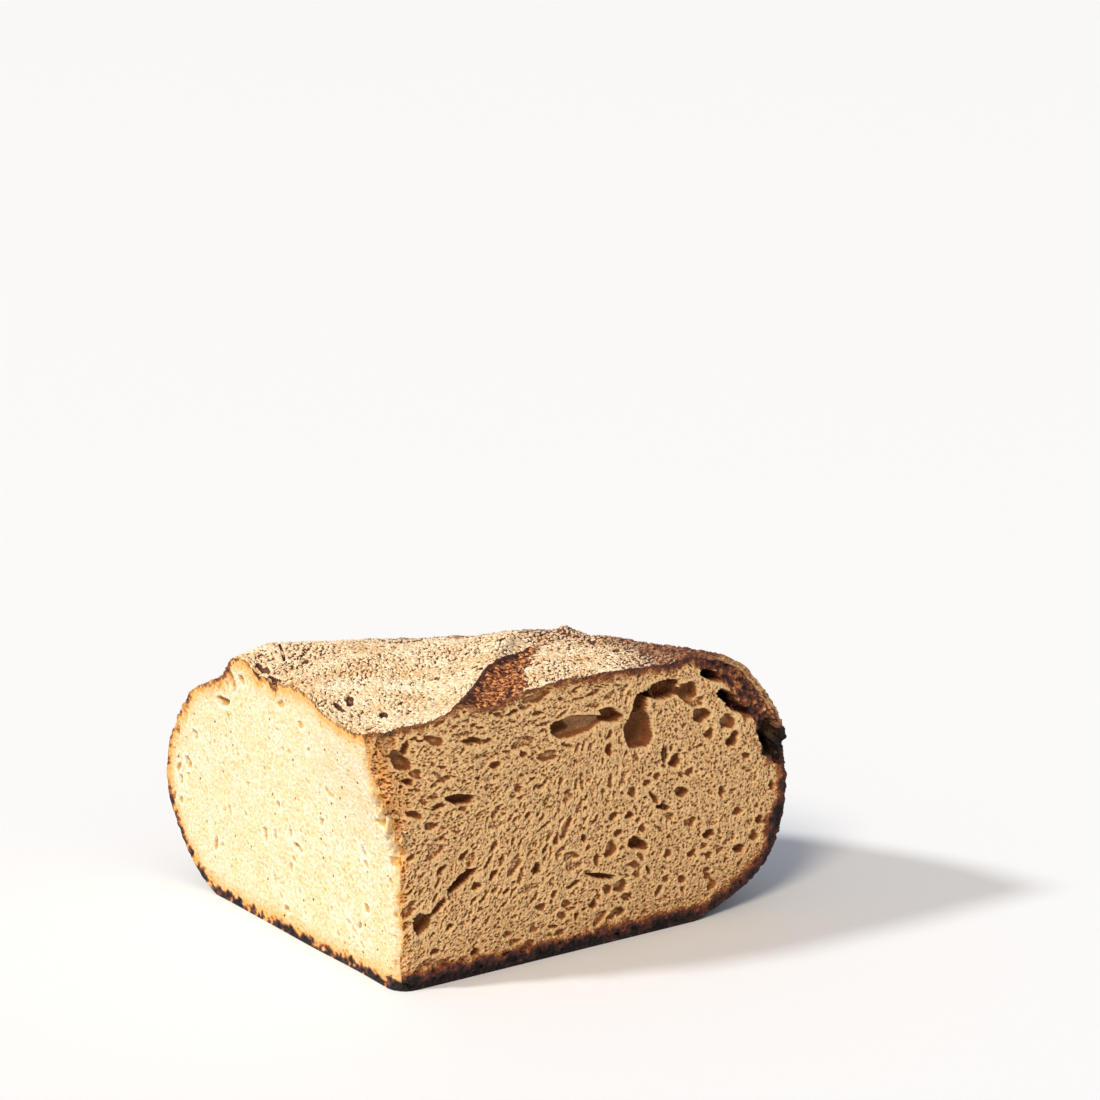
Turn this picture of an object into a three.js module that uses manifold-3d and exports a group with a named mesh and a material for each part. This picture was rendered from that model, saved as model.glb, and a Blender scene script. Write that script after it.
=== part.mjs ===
// A quarter of a round country loaf, as cut: two knife faces that meet at a near upright edge,
// a domed crust on top, a rounded side and a flat underside.
// Millimetres, +Z up. The loaf's middle is at the near edge: one cut runs along +X, the other along +Y.
import * as THREE from 'three';
import { mergeVertices } from 'three/addons/utils/BufferGeometryUtils.js';
import Module from 'manifold-3d';

const wasm = await Module();
wasm.setup();

// Driving dimensions of the crust
const CROWN_HEIGHT = 76.6; // height of the crust over the loaf's middle
const CROWN_SPREAD = 66; // distance from the middle at which the dome has its full height
const SHOULDER = 0.88; // where the top turns into the side, as a share of the widest radius
const TOE_ROUND = 1.7; // how round the turn is from the underside into the side
const TRIM = 1; // how much is taken off below to leave a flat underside

// The crust's outline at five turns about the middle, from the right cut to the left cut:
// full height, widest radius and its height, radius of the flat underside,
// and how square the shoulder and the toe are
const STATIONS = [
  { turn: 0, top: 83.6, belly: 141, bellyHeight: 45, foot: 95, square: 8, toe: 3.4 },
  { turn: 32, top: 84, belly: 139.4, bellyHeight: 43, foot: 95, square: 7.4, toe: 3.1 },
  { turn: 56, top: 81.2, belly: 138, bellyHeight: 41, foot: 95, square: 6, toe: 2.7 },
  { turn: 82, top: 80.4, belly: 136, bellyHeight: 35, foot: 96, square: 4.4, toe: 1.9 },
  { turn: 90, top: 80, belly: 134.6, bellyHeight: 32, foot: 98, square: 3.8, toe: 1.7 },
];

// The slash across the top: a rough trough from the right cut towards the back, with a raised lip
const SLASH = { x: 36, y: 0, heading: 48, length: 72, width: 12, depth: 0.9, lip: 1.5, lipWidth: 4 };
// A blister that stands up near the back of the top
const BLISTER = { x: 94, y: 51, radius: 7, height: 2 };
// The side burst open in the oven along the left cut: a lip that overhangs a sunken band
const BURST = { lipRadius: 89, lipHeight: 5.2, bandRadius: 108, bandDepth: 2, width: 9, from: 66, to: 84 };

// Relief of the crust: lumps as wide as the first number, and high as the second
const BROAD_LUMPS = { size: 27, height: 1.3 };
const SMALL_LUMPS = { size: 10, height: 0.9 };

// The knife's faces: the left one leans out at the top of the near edge, the right one is cut back there
const LEAN = { out: 9, back: 4.7, from: 38, leftReach: 70, rightReach: 30 };
const KNIFE_WAVE = { size: 24, height: 0.5 };
const EDGE_WEAR = { size: 8, height: 1.2, reach: 9 };

// Holes in the crumb that show from a step away, each as its middle along the face and up,
// its length and height, its tilt in degrees and how deep it goes in
const RIGHT_HOLES = {
  tallTop: [85, 70.5, 7.5, 6.4, 72, 7],
  tallFoot: [83, 63, 12, 9, 70, 10],
  longOne: [60, 68, 16.5, 4.6, -3, 8],
  wedge: [74, 69, 9.5, 4.2, -13, 6],
  underCrust: [93, 73.6, 15.5, 5.4, -3, 9],
  underCrustEnd: [102.4, 71.4, 8.4, 6, -40, 6],
  blister: [113, 75.2, 15, 5.2, -22, 10],
  crustGap: [120.4, 65.2, 17, 5.6, -35, 10],
  rimGap: [134, 50.6, 13.5, 7.4, -60, 10],
  roundUpper: [107.4, 63.6, 6.4, 5, -9, 4.5],
  roundShoulder: [117.3, 60, 6, 5, -9, 4],
  cleft: [119.3, 54.2, 5.6, 4.2, 39, 4.5],
  twinTall: [94, 54, 6, 2.8, 97, 4],
  twinRound: [97.8, 51.2, 5, 4, -10, 4],
  middle: [100.2, 41.2, 4.8, 3.6, -10, 4],
  crescent: [91.5, 39.3, 8.6, 2.2, -40, 4],
  lowWide: [83.9, 28.2, 8, 4, -19, 6],
  lowTall: [74, 28.4, 5.6, 4.4, 84, 4],
  ovalLow: [110.6, 26.2, 4.4, 3.4, -11, 4],
  sideLow: [122.3, 19.4, 4.6, 3.4, -11, 4],
  pairLow: [77.7, 16.3, 5.4, 4, -11, 4],
  slit: [70.7, 20.8, 12, 1.8, -16, 5],
  darkLow: [47.5, 27.5, 4.4, 3.8, 17, 4],
  smear: [21.7, 52.8, 9, 3.8, -13, 6],
  edgeScoop: [1.5, 69.2, 12, 5.4, 27, 5],
  thin: [25.9, 69.4, 7.6, 2.4, -10, 4],
  slanted: [21.5, 29, 11, 4, 27, 6],
  cornerWedge: [8.6, 19, 8, 5.6, 46, 5],
  cornerTail: [13.7, 22.8, 7, 3, 40, 4],
};
const LEFT_HOLES = {
  underBurst: [97.5, 63.4, 7, 3.6, 0, 4],
  groove: [92, 71, 7.4, 4, 55, 3.5],
  grooveEnd: [86, 72.4, 5, 3, 20, 3],
  sideUpper: [115.5, 48.8, 4.4, 3, 12, 3],
  side: [120.5, 38.6, 4.8, 3.6, 30, 3.5],
  middle: [55.2, 28.4, 5, 2.4, 20, 3],
  low: [25.1, 12.5, 8, 2.2, 30, 3.5],
};

// How finely the block is divided along each cut and up the side
const CUT_STEPS = 32;
const RISE_STEPS = 17;
const OUTLINE_STEPS = 14;
const SEED = 7411;

const mix = (a, b, t) => a + (b - a) * t;
const clamp01 = (t) => Math.min(1, Math.max(0, t));

// Rises smoothly from 0 at t = 0 to 1 at t = 1
function ease(t) {
  const held = clamp01(t);
  return held * held * (3 - 2 * held);
}

// A repeatable value from -1 to 1 for each whole-number place in space
function speck(i, j, k) {
  let h = Math.imul(i, 374761393) + Math.imul(j, 668265263) + Math.imul(k, 974634777) + SEED;
  h = Math.imul(h ^ (h >>> 13), 1274126177);
  h = Math.imul(h ^ (h >>> 16), 2246822519);
  return ((h ^ (h >>> 15)) >>> 0) / 2147483647.5 - 1;
}

// Smooth lumps between -1 and 1, each about `size` across
function lumps(x, y, z, size) {
  const at = [x / size, y / size, z / size];
  const cell = at.map(Math.floor);
  const part = at.map((value, axis) => ease(value - cell[axis]));
  let sum = 0;
  for (let corner = 0; corner < 8; corner += 1) {
    const step = [corner & 1, (corner >> 1) & 1, corner >> 2];
    const weight = step.reduce((w, s, axis) => w * (s ? part[axis] : 1 - part[axis]), 1);
    sum += weight * speck(cell[0] + step[0], cell[1] + step[1], cell[2] + step[2]);
  }
  return sum;
}

// The crust's outline sizes at any turn, in degrees, blended between the stations
function outlineAt(turn) {
  const next = Math.max(1, STATIONS.findIndex((station) => station.turn >= turn - 1e-9));
  const [a, b] = [STATIONS[next - 1], STATIONS[next]];
  const t = ease((turn - a.turn) / (b.turn - a.turn));
  const form = {};
  for (const key of Object.keys(a)) form[key] = mix(a[key], b[key], t);
  return form;
}

// Height of the top crust at distance r from the middle
function crustHeight(form, r) {
  const drop = Math.sqrt(1 - (r / form.belly) ** form.square);
  const dome = form.bellyHeight + (form.top - form.bellyHeight) * drop;
  return mix(CROWN_HEIGHT, dome, ease(r / CROWN_SPREAD));
}

// The side of the crust, from the edge of the flat underside round the belly to the shoulder
function sideCurve(form) {
  const points = [];
  for (let step = 0; step <= OUTLINE_STEPS; step += 1) {
    const angle = (step / OUTLINE_STEPS) * Math.PI / 2;
    const out = Math.sin(angle) ** (2 / TOE_ROUND);
    const up = 1 - Math.cos(angle) ** (2 / form.toe);
    points.push(new THREE.Vector2(mix(form.foot, form.belly, out), mix(-TRIM, form.bellyHeight, up)));
  }
  const last = Math.acos(SHOULDER ** (form.square / 2));
  for (let step = 1; step <= OUTLINE_STEPS; step += 1) {
    const angle = (step / OUTLINE_STEPS) * last;
    const r = form.belly * Math.cos(angle) ** (2 / form.square);
    points.push(new THREE.Vector2(r, crustHeight(form, r)));
  }
  return new THREE.SplineCurve(points);
}

// Outline sizes and side points of each turn that the block uses, worked out once
const slices = new Map();
function sliceAt(turn) {
  const key = turn.toFixed(4);
  if (!slices.has(key)) {
    const form = outlineAt(turn);
    slices.set(key, { form, side: sideCurve(form).getSpacedPoints(RISE_STEPS) });
  }
  return slices.get(key);
}

// A place inside the loaf as distance out and height, where `out` and `up` run from 0 to 1
// and the four edges of that square follow the middle, the underside, the side and the top
function placeInSlice(slice, out, up) {
  const { form, side } = slice;
  const reach = form.belly * SHOULDER;
  const shoulder = crustHeight(form, reach);
  const edge = side[Math.round(up * RISE_STEPS)];
  const middleZ = mix(-TRIM, CROWN_HEIGHT, up);
  const cornerZ = mix(-TRIM, shoulder, up);
  const topZ = mix(-TRIM, crustHeight(form, out * reach), up);
  return { r: out * edge.x, z: topZ + mix(middleZ, edge.y, out) - mix(middleZ, cornerZ, out) };
}

// How much higher or lower the slash, the blister and the burst make the top crust
function topRelief(x, y, turn, r) {
  const heading = THREE.MathUtils.degToRad(SLASH.heading);
  const along = (x - SLASH.x) * Math.cos(heading) + (y - SLASH.y) * Math.sin(heading);
  const across = (y - SLASH.y) * Math.cos(heading) - (x - SLASH.x) * Math.sin(heading);
  const ends = 1 - ease((along - SLASH.length * 0.8) / (SLASH.length * 0.2));
  const trough = 1 - ease((Math.abs(across) / SLASH.width - 0.25) / 0.3);
  const lip = Math.exp(-(((across - SLASH.width * 0.62) / SLASH.lipWidth) ** 2));
  const slash = ends * (SLASH.lip * lip - SLASH.depth * trough);
  const spot = Math.hypot(x - BLISTER.x, y - BLISTER.y) / BLISTER.radius;
  const blister = BLISTER.height * (1 - ease(spot));
  const near = ease((turn - BURST.from) / (BURST.to - BURST.from));
  const rise = ease((r - BURST.lipRadius + 2 * BURST.width) / (2 * BURST.width));
  const fall = 1 - ease((r - BURST.lipRadius - 1) / BURST.width);
  const band = Math.exp(-(((r - BURST.bandRadius) / BURST.width) ** 2));
  return slash + blister + near * (BURST.lipHeight * rise * fall - BURST.bandDepth * band);
}

// Sideways shift of the left cut face, negative where it stands out past the plane x = 0
function leftShift(y, z) {
  const lean = ease((z - LEAN.from) / (CROWN_HEIGHT - LEAN.from)) * (1 - ease(y / LEAN.leftReach));
  return KNIFE_WAVE.height * lumps(31, y, z, KNIFE_WAVE.size) - LEAN.out * lean;
}

// Shift of the right cut face, positive where it is cut back behind the plane y = 0
function rightShift(x, z) {
  const lean = ease((z - LEAN.from) / (CROWN_HEIGHT - LEAN.from)) * (1 - ease(x / LEAN.rightReach));
  return KNIFE_WAVE.height * lumps(x, 57, z, KNIFE_WAVE.size) + LEAN.back * lean;
}

// A point of the loaf for shares of the block along the two cuts and up
function loafPoint(alongX, alongY, up) {
  const out = Math.max(alongX, alongY);
  const half = Math.min(alongX, alongY) / Math.max(out, 1e-9) * 45;
  const turn = alongX >= alongY ? half : 90 - half;
  const slice = sliceAt(turn);
  let { r, z } = placeInSlice(slice, out, up);
  const angle = THREE.MathUtils.degToRad(turn);

  // Lumps stand out from the crust and fade into the crumb and at the flat underside
  const skin = ease((Math.max(out, up) - 0.8) / 0.2) * ease(z / 9);
  const away = new THREE.Vector2(Math.max(0, r - 0.62 * slice.form.belly), z - 0.45 * CROWN_HEIGHT);
  away.normalize();
  const [x0, y0] = [r * Math.cos(angle), r * Math.sin(angle)];
  const bump = skin * (BROAD_LUMPS.height * lumps(x0, y0, z, BROAD_LUMPS.size)
    + SMALL_LUMPS.height * lumps(x0, y0, z, SMALL_LUMPS.size));
  r += bump * away.x;
  z += bump * away.y + skin * ease((z - 50) / 20) * topRelief(x0, y0, turn, r);

  // The cut faces wave and lean, and the near edge is worn; the underside keeps its straight outline
  let x = r * Math.cos(angle);
  let y = r * Math.sin(angle);
  const wear = (1 - ease(r / EDGE_WEAR.reach)) * ease(z / 6) * EDGE_WEAR.height;
  const inX = 1 - ease(x / 60);
  const inY = 1 - ease(y / 60);
  const [sx, sy] = [leftShift(y, z) * inX, rightShift(x, z) * inY];
  x += sx + wear * lumps(3, 5, z, EDGE_WEAR.size);
  y += sy + wear * lumps(9, 2, z, EDGE_WEAR.size);
  return [x, y, z];
}

// Turns a closed geometry into a solid that can be joined and cut
function toSolid(geometry) {
  geometry.deleteAttribute('normal');
  geometry.deleteAttribute('uv');
  const merged = mergeVertices(geometry, 1e-4);
  return new wasm.Manifold(new wasm.Mesh({
    numProp: 3,
    vertProperties: new Float32Array(merged.attributes.position.array),
    triVerts: new Uint32Array(merged.index.array),
  }));
}

// The whole quarter: a divided block, bent so that its sides become the cuts, crust and underside
function quarterSolid() {
  const block = new THREE.BoxGeometry(1, 1, 1, CUT_STEPS, CUT_STEPS, RISE_STEPS);
  const position = block.attributes.position;
  for (let i = 0; i < position.count; i += 1) {
    const share = [position.getX(i), position.getY(i), position.getZ(i)].map((value) => value + 0.5);
    const snapped = share.map((value, axis) => {
      const steps = axis === 2 ? RISE_STEPS : CUT_STEPS;
      return Math.round(value * steps) / steps;
    });
    position.setXYZ(i, ...loafPoint(...snapped));
  }
  return toSolid(block);
}

// One hole: an uneven egg, half sunk in a cut face. `face` is 'right' or 'left'
function holeSolid(face, [along, up, length, height, tilt, depth]) {
  const egg = new THREE.IcosahedronGeometry(1, Math.max(length, height) > 11.5 ? 2 : 1);
  const position = egg.attributes.position;
  for (let i = 0; i < position.count; i += 1) {
    const p = new THREE.Vector3().fromBufferAttribute(position, i);
    const uneven = 1 + 0.12 * lumps(p.x * 4 + along, p.y * 4, p.z * 4 + up, 3);
    position.setXYZ(i, ...p.multiplyScalar(uneven).toArray());
  }
  egg.scale(length / 2, depth, height / 2);
  egg.rotateY(THREE.MathUtils.degToRad(-tilt));
  if (face === 'left') {
    egg.rotateZ(Math.PI / 2);
    egg.translate(leftShift(along, up), along, up);
  } else {
    egg.translate(along, rightShift(along, up), up);
  }
  return toSolid(egg);
}

// Back from a solid to a geometry, keeping only its largest piece
function toGeometry(solid) {
  const largest = solid.decompose().reduce((a, b) => (b.volume() > a.volume() ? b : a));
  const mesh = largest.getMesh();
  const geometry = new THREE.BufferGeometry();
  geometry.setAttribute('position', new THREE.BufferAttribute(mesh.vertProperties, 3));
  geometry.setIndex(new THREE.BufferAttribute(mesh.triVerts, 1));
  geometry.computeVertexNormals();
  return geometry;
}

// What is trimmed off below
function belowFloor() {
  const slab = new THREE.BoxGeometry(4 * CROWN_HEIGHT, 4 * CROWN_HEIGHT, 4 * TRIM);
  return toSolid(slab.translate(CROWN_HEIGHT, CROWN_HEIGHT, -2 * TRIM));
}

let bread = quarterSolid().subtract(belowFloor());
for (const hole of Object.values(RIGHT_HOLES)) bread = bread.subtract(holeSolid('right', hole));
for (const hole of Object.values(LEFT_HOLES)) bread = bread.subtract(holeSolid('left', hole));

const crust = new THREE.MeshStandardMaterial({ color: '#c39a62', roughness: 0.9, metalness: 0 });
const loaf = new THREE.Mesh(toGeometry(bread), crust);
loaf.name = 'loaf';

// The part's origin is the middle of its box, at the height of the underside
loaf.geometry.computeBoundingBox();
const middle = loaf.geometry.boundingBox.getCenter(new THREE.Vector3());
loaf.position.set(-middle.x, -middle.y, 0);

const part = new THREE.Group();
part.add(loaf);
export default part;
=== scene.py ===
"""A quarter of a round sourdough loaf: floured crust, two cut faces of open crumb and a charred base."""
import logging
import math
from dataclasses import dataclass, field, fields
from enum import Enum
from typing import Callable, Sequence

import bmesh
import bpy
import numpy as np
from mathutils import Matrix, Vector


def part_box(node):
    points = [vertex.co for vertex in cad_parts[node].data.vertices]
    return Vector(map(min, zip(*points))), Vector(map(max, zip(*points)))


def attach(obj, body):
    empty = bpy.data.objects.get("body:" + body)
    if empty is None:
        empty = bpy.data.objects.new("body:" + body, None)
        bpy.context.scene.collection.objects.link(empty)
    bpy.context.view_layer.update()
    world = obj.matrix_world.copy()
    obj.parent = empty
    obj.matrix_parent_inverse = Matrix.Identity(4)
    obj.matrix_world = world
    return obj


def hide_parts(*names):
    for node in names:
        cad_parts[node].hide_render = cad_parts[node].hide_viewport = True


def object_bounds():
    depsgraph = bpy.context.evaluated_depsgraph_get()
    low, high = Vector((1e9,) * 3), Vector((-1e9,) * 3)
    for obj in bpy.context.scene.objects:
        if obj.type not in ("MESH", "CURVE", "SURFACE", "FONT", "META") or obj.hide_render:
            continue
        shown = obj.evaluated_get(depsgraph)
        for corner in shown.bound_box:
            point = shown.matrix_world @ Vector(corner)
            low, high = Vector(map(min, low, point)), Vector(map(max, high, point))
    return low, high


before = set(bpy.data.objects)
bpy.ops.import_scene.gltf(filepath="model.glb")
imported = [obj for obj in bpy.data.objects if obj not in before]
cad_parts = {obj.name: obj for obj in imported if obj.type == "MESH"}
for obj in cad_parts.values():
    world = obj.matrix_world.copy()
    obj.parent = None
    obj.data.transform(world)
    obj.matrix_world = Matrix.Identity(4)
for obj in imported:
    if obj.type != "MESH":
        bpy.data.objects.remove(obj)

log = logging.getLogger("sourdough")
MM = 0.001
SEED = 7411
# How far the right cut runs from the near edge to the crust, in millimetres
RADIUS = 141.0
# Keeps a place that is looked up in a table just inside the table's last cell
LAST_CELL = 1.001
Array = np.ndarray
CAD_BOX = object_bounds()


# Shape of the whole quarter, in millimetres. The loaf's middle is at the foot of the near edge,
# the right cut runs along +X, the left cut along +Y


@dataclass(frozen=True)
class Station:
    """The crust's outline at one turn about the loaf's middle, in degrees and millimetres."""

    turn: float
    top: float
    belly: float
    belly_height: float
    foot: float
    square: float
    toe: float


STATIONS = (
    Station(0, 83.6, RADIUS, 45, 95, 8.0, 3.4),
    Station(32, 84.0, 139.4, 43, 95, 7.4, 3.1),
    Station(56, 81.2, 138.0, 41, 95, 6.0, 2.7),
    Station(82, 80.4, 136.0, 35, 96, 4.4, 1.9),
    Station(90, 80.0, 134.6, 32, 98, 3.8, 1.7),
)


def mix(a: Array | float, b: Array | float, t: Array | float) -> Array:
    """Goes from a at t = 0 to b at t = 1."""
    return a + (b - a) * t


def ease(t: Array | float) -> Array:
    """Rises smoothly from 0 at t = 0 to 1 at t = 1."""
    held = np.clip(t, 0.0, 1.0)
    return held * held * (3 - 2 * held)


def bell(t: Array | float) -> Array:
    """A bell curve that is 1 at t = 0."""
    return np.exp(-np.square(t))


def speck(i: Array, j: Array, k: Array) -> Array:
    """A repeatable value from -1 to 1 for each whole-number place in space.

    Args:
        i, j, k: the place's three whole numbers.

    Returns:
        One value for each place.
    """
    with np.errstate(over="ignore"):
        i, j, k = (np.asarray(v, np.int64).astype(np.uint32) for v in (i, j, k))
        h = i * np.uint32(374761393) + j * np.uint32(668265263) + k * np.uint32(974634777)
        h = h + np.uint32(SEED)
        h = (h ^ (h >> np.uint32(13))) * np.uint32(1274126177)
        h = (h ^ (h >> np.uint32(16))) * np.uint32(2246822519)
        return (h ^ (h >> np.uint32(15))) / 2147483647.5 - 1


def lumps(x: Array, y: Array, z: Array, size: float) -> Array:
    """Smooth lumps between -1 and 1, each about `size` millimetres across.

    Args:
        x, y, z: places in millimetres; numbers are spread over the arrays.
        size: width of one lump in millimetres.

    Returns:
        One value for each place.
    """
    at = [np.asarray(v, float) / size for v in np.broadcast_arrays(x, y, z)]
    cell = [np.floor(v).astype(np.int64) for v in at]
    part = [ease(v - c) for v, c in zip(at, cell)]
    total = 0.0
    for corner in range(8):
        step = (corner & 1, (corner >> 1) & 1, corner >> 2)
        weight = 1.0
        for share, side in zip(part, step):
            weight = weight * (share if side else 1 - share)
        total = total + weight * speck(*(c + s for c, s in zip(cell, step)))
    return total


@dataclass
class LoafForm:
    """The quarter's form, worked out from the same sizes as its solid."""

    crown_height: float = 76.6
    crown_spread: float = 66.0
    shoulder: float = 0.88
    toe_round: float = 1.7
    trim: float = 1.0
    broad: tuple[float, float] = (27.0, 1.05)
    small: tuple[float, float] = (10.0, 0.55)
    slash_from: tuple[float, float] = (36.0, 0.0)
    slash_heading: float = 48.0
    slash_length: float = 72.0
    slash_width: float = 12.0
    slash_depth: float = 0.9
    slash_lip: float = 1.5
    lip_width: float = 4.0
    blister: tuple[float, float, float, float] = (94.0, 51.0, 7.0, 2.0)
    burst_lip: tuple[float, float] = (89.0, 5.2)
    burst_band: tuple[float, float] = (108.0, 2.0)
    burst_width: float = 9.0
    burst_turns: tuple[float, float] = (66.0, 84.0)
    lean_out: float = 9.0
    lean_back: float = 4.7
    lean_from: float = 38.0
    lean_reach: tuple[float, float] = (70.0, 30.0)
    knife_wave: tuple[float, float] = (24.0, 0.5)
    knife_reach: float = 60.0
    edge_wear: tuple[float, float, float] = (8.0, 1.2, 9.0)
    edge_crumbs: tuple[float, float, float, float] = (0.35, 3.0, 50.0, 8.0)
    corner: float = 6.0
    slash_left: tuple[tuple[float, float], ...] = (
        (-3, 15), (4, 26.5), (11, 33), (24, 48.5), (33.5, 63.5), (39.5, 73), (42, 78))
    slash_right: tuple[tuple[float, float], ...] = ((-6, 40), (5.5, 48), (18.5, 57), (30, 67.5), (42, 79.5))
    swells: tuple[tuple[float, float, float], ...] = ((108.0, 11.0, 2.0), (131.0, 8.0, -2.0))
    left_swell: tuple[float, float, float, float] = (70.0, 8.0, 88.0, 2.1)
    jut: tuple[float, float, float] = (50.5, 6.0, 1.5)
    settle: float = 1.4
    grit_height: tuple[float, float] = (58.0, 12.0)
    grit_reach: tuple[float, float] = (116.0, 8.0)
    top_grit: "Relief | None" = None
    side_grit: "Relief | None" = None
    turns: int = 181
    rises: int = 241
    low_points: int = 90
    high_points: int = 60
    sides: Array = field(init=False)

    def __post_init__(self) -> None:
        """Works out the side of the crust at every half degree, evenly spaced along its outline."""
        self.sides = np.stack([self.side_points(turn) for turn in np.linspace(0, 90, self.turns)])

    def outline_at(self, turn: Array) -> Station:
        """The outline's sizes at any turn.

        Args:
            turn: degrees about the loaf's middle, from the right cut.

        Returns:
            A station whose fields are arrays.
        """
        knots = np.array([s.turn for s in STATIONS], float)
        low = np.clip(np.searchsorted(knots, turn, side="left") - 1, 0, len(knots) - 2)
        t = ease((turn - knots[low]) / (knots[low + 1] - knots[low]))
        values = {}
        for part in fields(Station):
            column = np.array([getattr(s, part.name) for s in STATIONS], float)
            values[part.name] = mix(column[low], column[low + 1], t)
        return Station(**values)

    def crust_height(self, form: Station, r: Array) -> Array:
        """Height of the top crust.

        Args:
            form: the outline's sizes there.
            r: distance from the loaf's middle in millimetres.

        Returns:
            The height in millimetres.
        """
        drop = np.sqrt(np.clip(1 - (r / form.belly) ** form.square, 0, 1))
        dome = form.belly_height + (form.top - form.belly_height) * drop
        return mix(self.crown_height, dome, ease(r / self.crown_spread))

    def side_points(self, turn: float) -> Array:
        """Evenly spaced points up the crust's side, from the underside to the shoulder.

        Args:
            turn: degrees from the right cut.

        Returns:
            Distance out and height of each point.
        """
        form = self.outline_at(np.array(turn))
        angle = np.linspace(0, math.pi / 2, self.low_points)
        out = np.sin(angle) ** (2 / self.toe_round)
        rise = 1 - np.cos(angle) ** (2 / form.toe)
        low = np.stack([mix(form.foot, form.belly, out), mix(-self.trim, form.belly_height, rise)], 1)
        last = np.arccos(self.shoulder ** (form.square / 2))
        angle = np.linspace(0, last, self.high_points)[1:]
        r = form.belly * np.cos(angle) ** (2 / form.square)
        line = np.concatenate([low, np.stack([r, self.crust_height(form, r)], 1)])
        run = np.concatenate([[0], np.cumsum(np.hypot(*np.diff(line, axis=0).T))])
        even = np.linspace(0, run[-1], self.rises)
        return np.stack([np.interp(even, run, line[:, 0]), np.interp(even, run, line[:, 1])], 1)

    def side_at(self, turn: Array, up: Array) -> tuple[Array, Array]:
        """A place on the crust's side.

        Args:
            turn: degrees from the right cut.
            up: share of the way up the side.

        Returns:
            Distance out and height.
        """
        t = np.clip(turn / 90 * (self.turns - 1), 0, self.turns - LAST_CELL)
        u = np.clip(up * (self.rises - 1), 0, self.rises - LAST_CELL)
        ti, ui = t.astype(int), u.astype(int)
        ft, fu = (t - ti)[..., None], (u - ui)[..., None]
        low = mix(self.sides[ti, ui], self.sides[ti, ui + 1], fu)
        high = mix(self.sides[ti + 1, ui], self.sides[ti + 1, ui + 1], fu)
        place = mix(low, high, ft)
        return place[..., 0], place[..., 1]

    def slash_place(self, x: Array, y: Array) -> tuple[Array, Array]:
        """How far along and across the slash a place on the top is.

        Args:
            x, y: places in millimetres.

        Returns:
            The two distances in millimetres.
        """
        heading = math.radians(self.slash_heading)
        cos, sin = math.cos(heading), math.sin(heading)
        dx, dy = x - self.slash_from[0], y - self.slash_from[1]
        return dx * cos + dy * sin, dy * cos - dx * sin

    def top_relief(self, x: Array, y: Array, turn: Array, r: Array) -> Array:
        """How much the slash, the blister and the burst side raise or lower the top crust.

        Args:
            x, y: places in millimetres.
            turn: degrees from the right cut.
            r: distance from the loaf's middle.

        Returns:
            The height to add.
        """
        along, across = self.slash_place(x, y)
        ends = 1 - ease((along - self.slash_length * 0.8) / (self.slash_length * 0.2))
        trough = 1 - ease((np.abs(across) / self.slash_width - 0.25) / 0.3)
        lip = bell((across - self.slash_width * 0.62) / self.lip_width)
        slash = ends * (self.slash_lip * lip - self.slash_depth * trough)
        bx, by, radius, height = self.blister
        blister = height * (1 - ease(np.hypot(x - bx, y - by) / radius))
        near = ease((turn - self.burst_turns[0]) / (self.burst_turns[1] - self.burst_turns[0]))
        rise = ease((r - self.burst_lip[0] + 2 * self.burst_width) / (2 * self.burst_width))
        fall = 1 - ease((r - self.burst_lip[0] - 1) / self.burst_width)
        band = bell((r - self.burst_band[0]) / self.burst_width)
        return slash + blister + near * (self.burst_lip[1] * rise * fall - self.burst_band[1] * band)

    def lean(self, away: Array, z: Array, reach: float) -> Array:
        """How much of its lean a cut has at a height and a distance from the near edge."""
        rise = ease((z - self.lean_from) / (self.crown_height - self.lean_from))
        return rise * (1 - ease(away / reach))

    def left_shift(self, y: Array, z: Array) -> Array:
        """Sideways shift of the left cut face, negative where it stands out past x = 0."""
        size, height = self.knife_wave
        return height * lumps(31, y, z, size) - self.lean_out * self.lean(y, z, self.lean_reach[0])

    def right_shift(self, x: Array, z: Array) -> Array:
        """Shift of the right cut face, positive where it is cut back behind y = 0."""
        size, height = self.knife_wave
        return height * lumps(x, 57, z, size) + self.lean_back * self.lean(x, z, self.lean_reach[1])

    def slash_cover(self, x: Array, y: Array) -> tuple[Array, Array]:
        """How far a place is inside the slash's open band, and how close to its torn left lip.

        Args:
            x, y: places in millimetres.

        Returns:
            Two shares from 0 to 1.
        """
        ragged = 0.9 * lumps(x, y, 4, 3.1) + 0.6 * lumps(x, y, 8, 1.3)
        left, right = (np.interp(y + ragged, *zip(*edge)) for edge in (self.slash_left, self.slash_right))
        inside = ease((x - left + 1.5 + ragged) / 0.9) * ease((right - x + ragged) / 1.8)
        width = mix(2.4, 0.9, ease((y + 2) / 14))
        lip = bell((x - left + 0.5 + ragged) / width) * (1 - ease((y - 38) / 4)) * ease((y + 6) / 4)
        return inside * (1 - ease((y - 42) / 3)), lip

    def crust_relief(self, x: Array, y: Array, z: Array, turn: Array) -> tuple[Array, Array]:
        """Grit, clumps of flour, pits and the slash's torn crust.

        Args:
            x, y, z: places in millimetres.
            turn: degrees from the right cut.

        Returns:
            Depth in millimetres, and how low or steep a place is among its neighbours.
        """
        if not self.top_grit or not self.side_grit:
            return 0 * x, 0 * x
        (height, rise), (reach, fall) = self.grit_height, self.grit_reach
        share = ease((z - height) / rise) * (1 - ease((np.hypot(x, y) - reach) / fall))
        round_about = np.asarray(turn) / 90 * self.side_grit.width
        values = []
        for part in ("depth", "low"):
            top = self.top_grit.sample(getattr(self.top_grit, part), x, y)
            side = self.side_grit.sample(getattr(self.side_grit, part), round_about, z)
            values.append(mix(side, top, share))
        return values[0], values[1]

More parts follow.
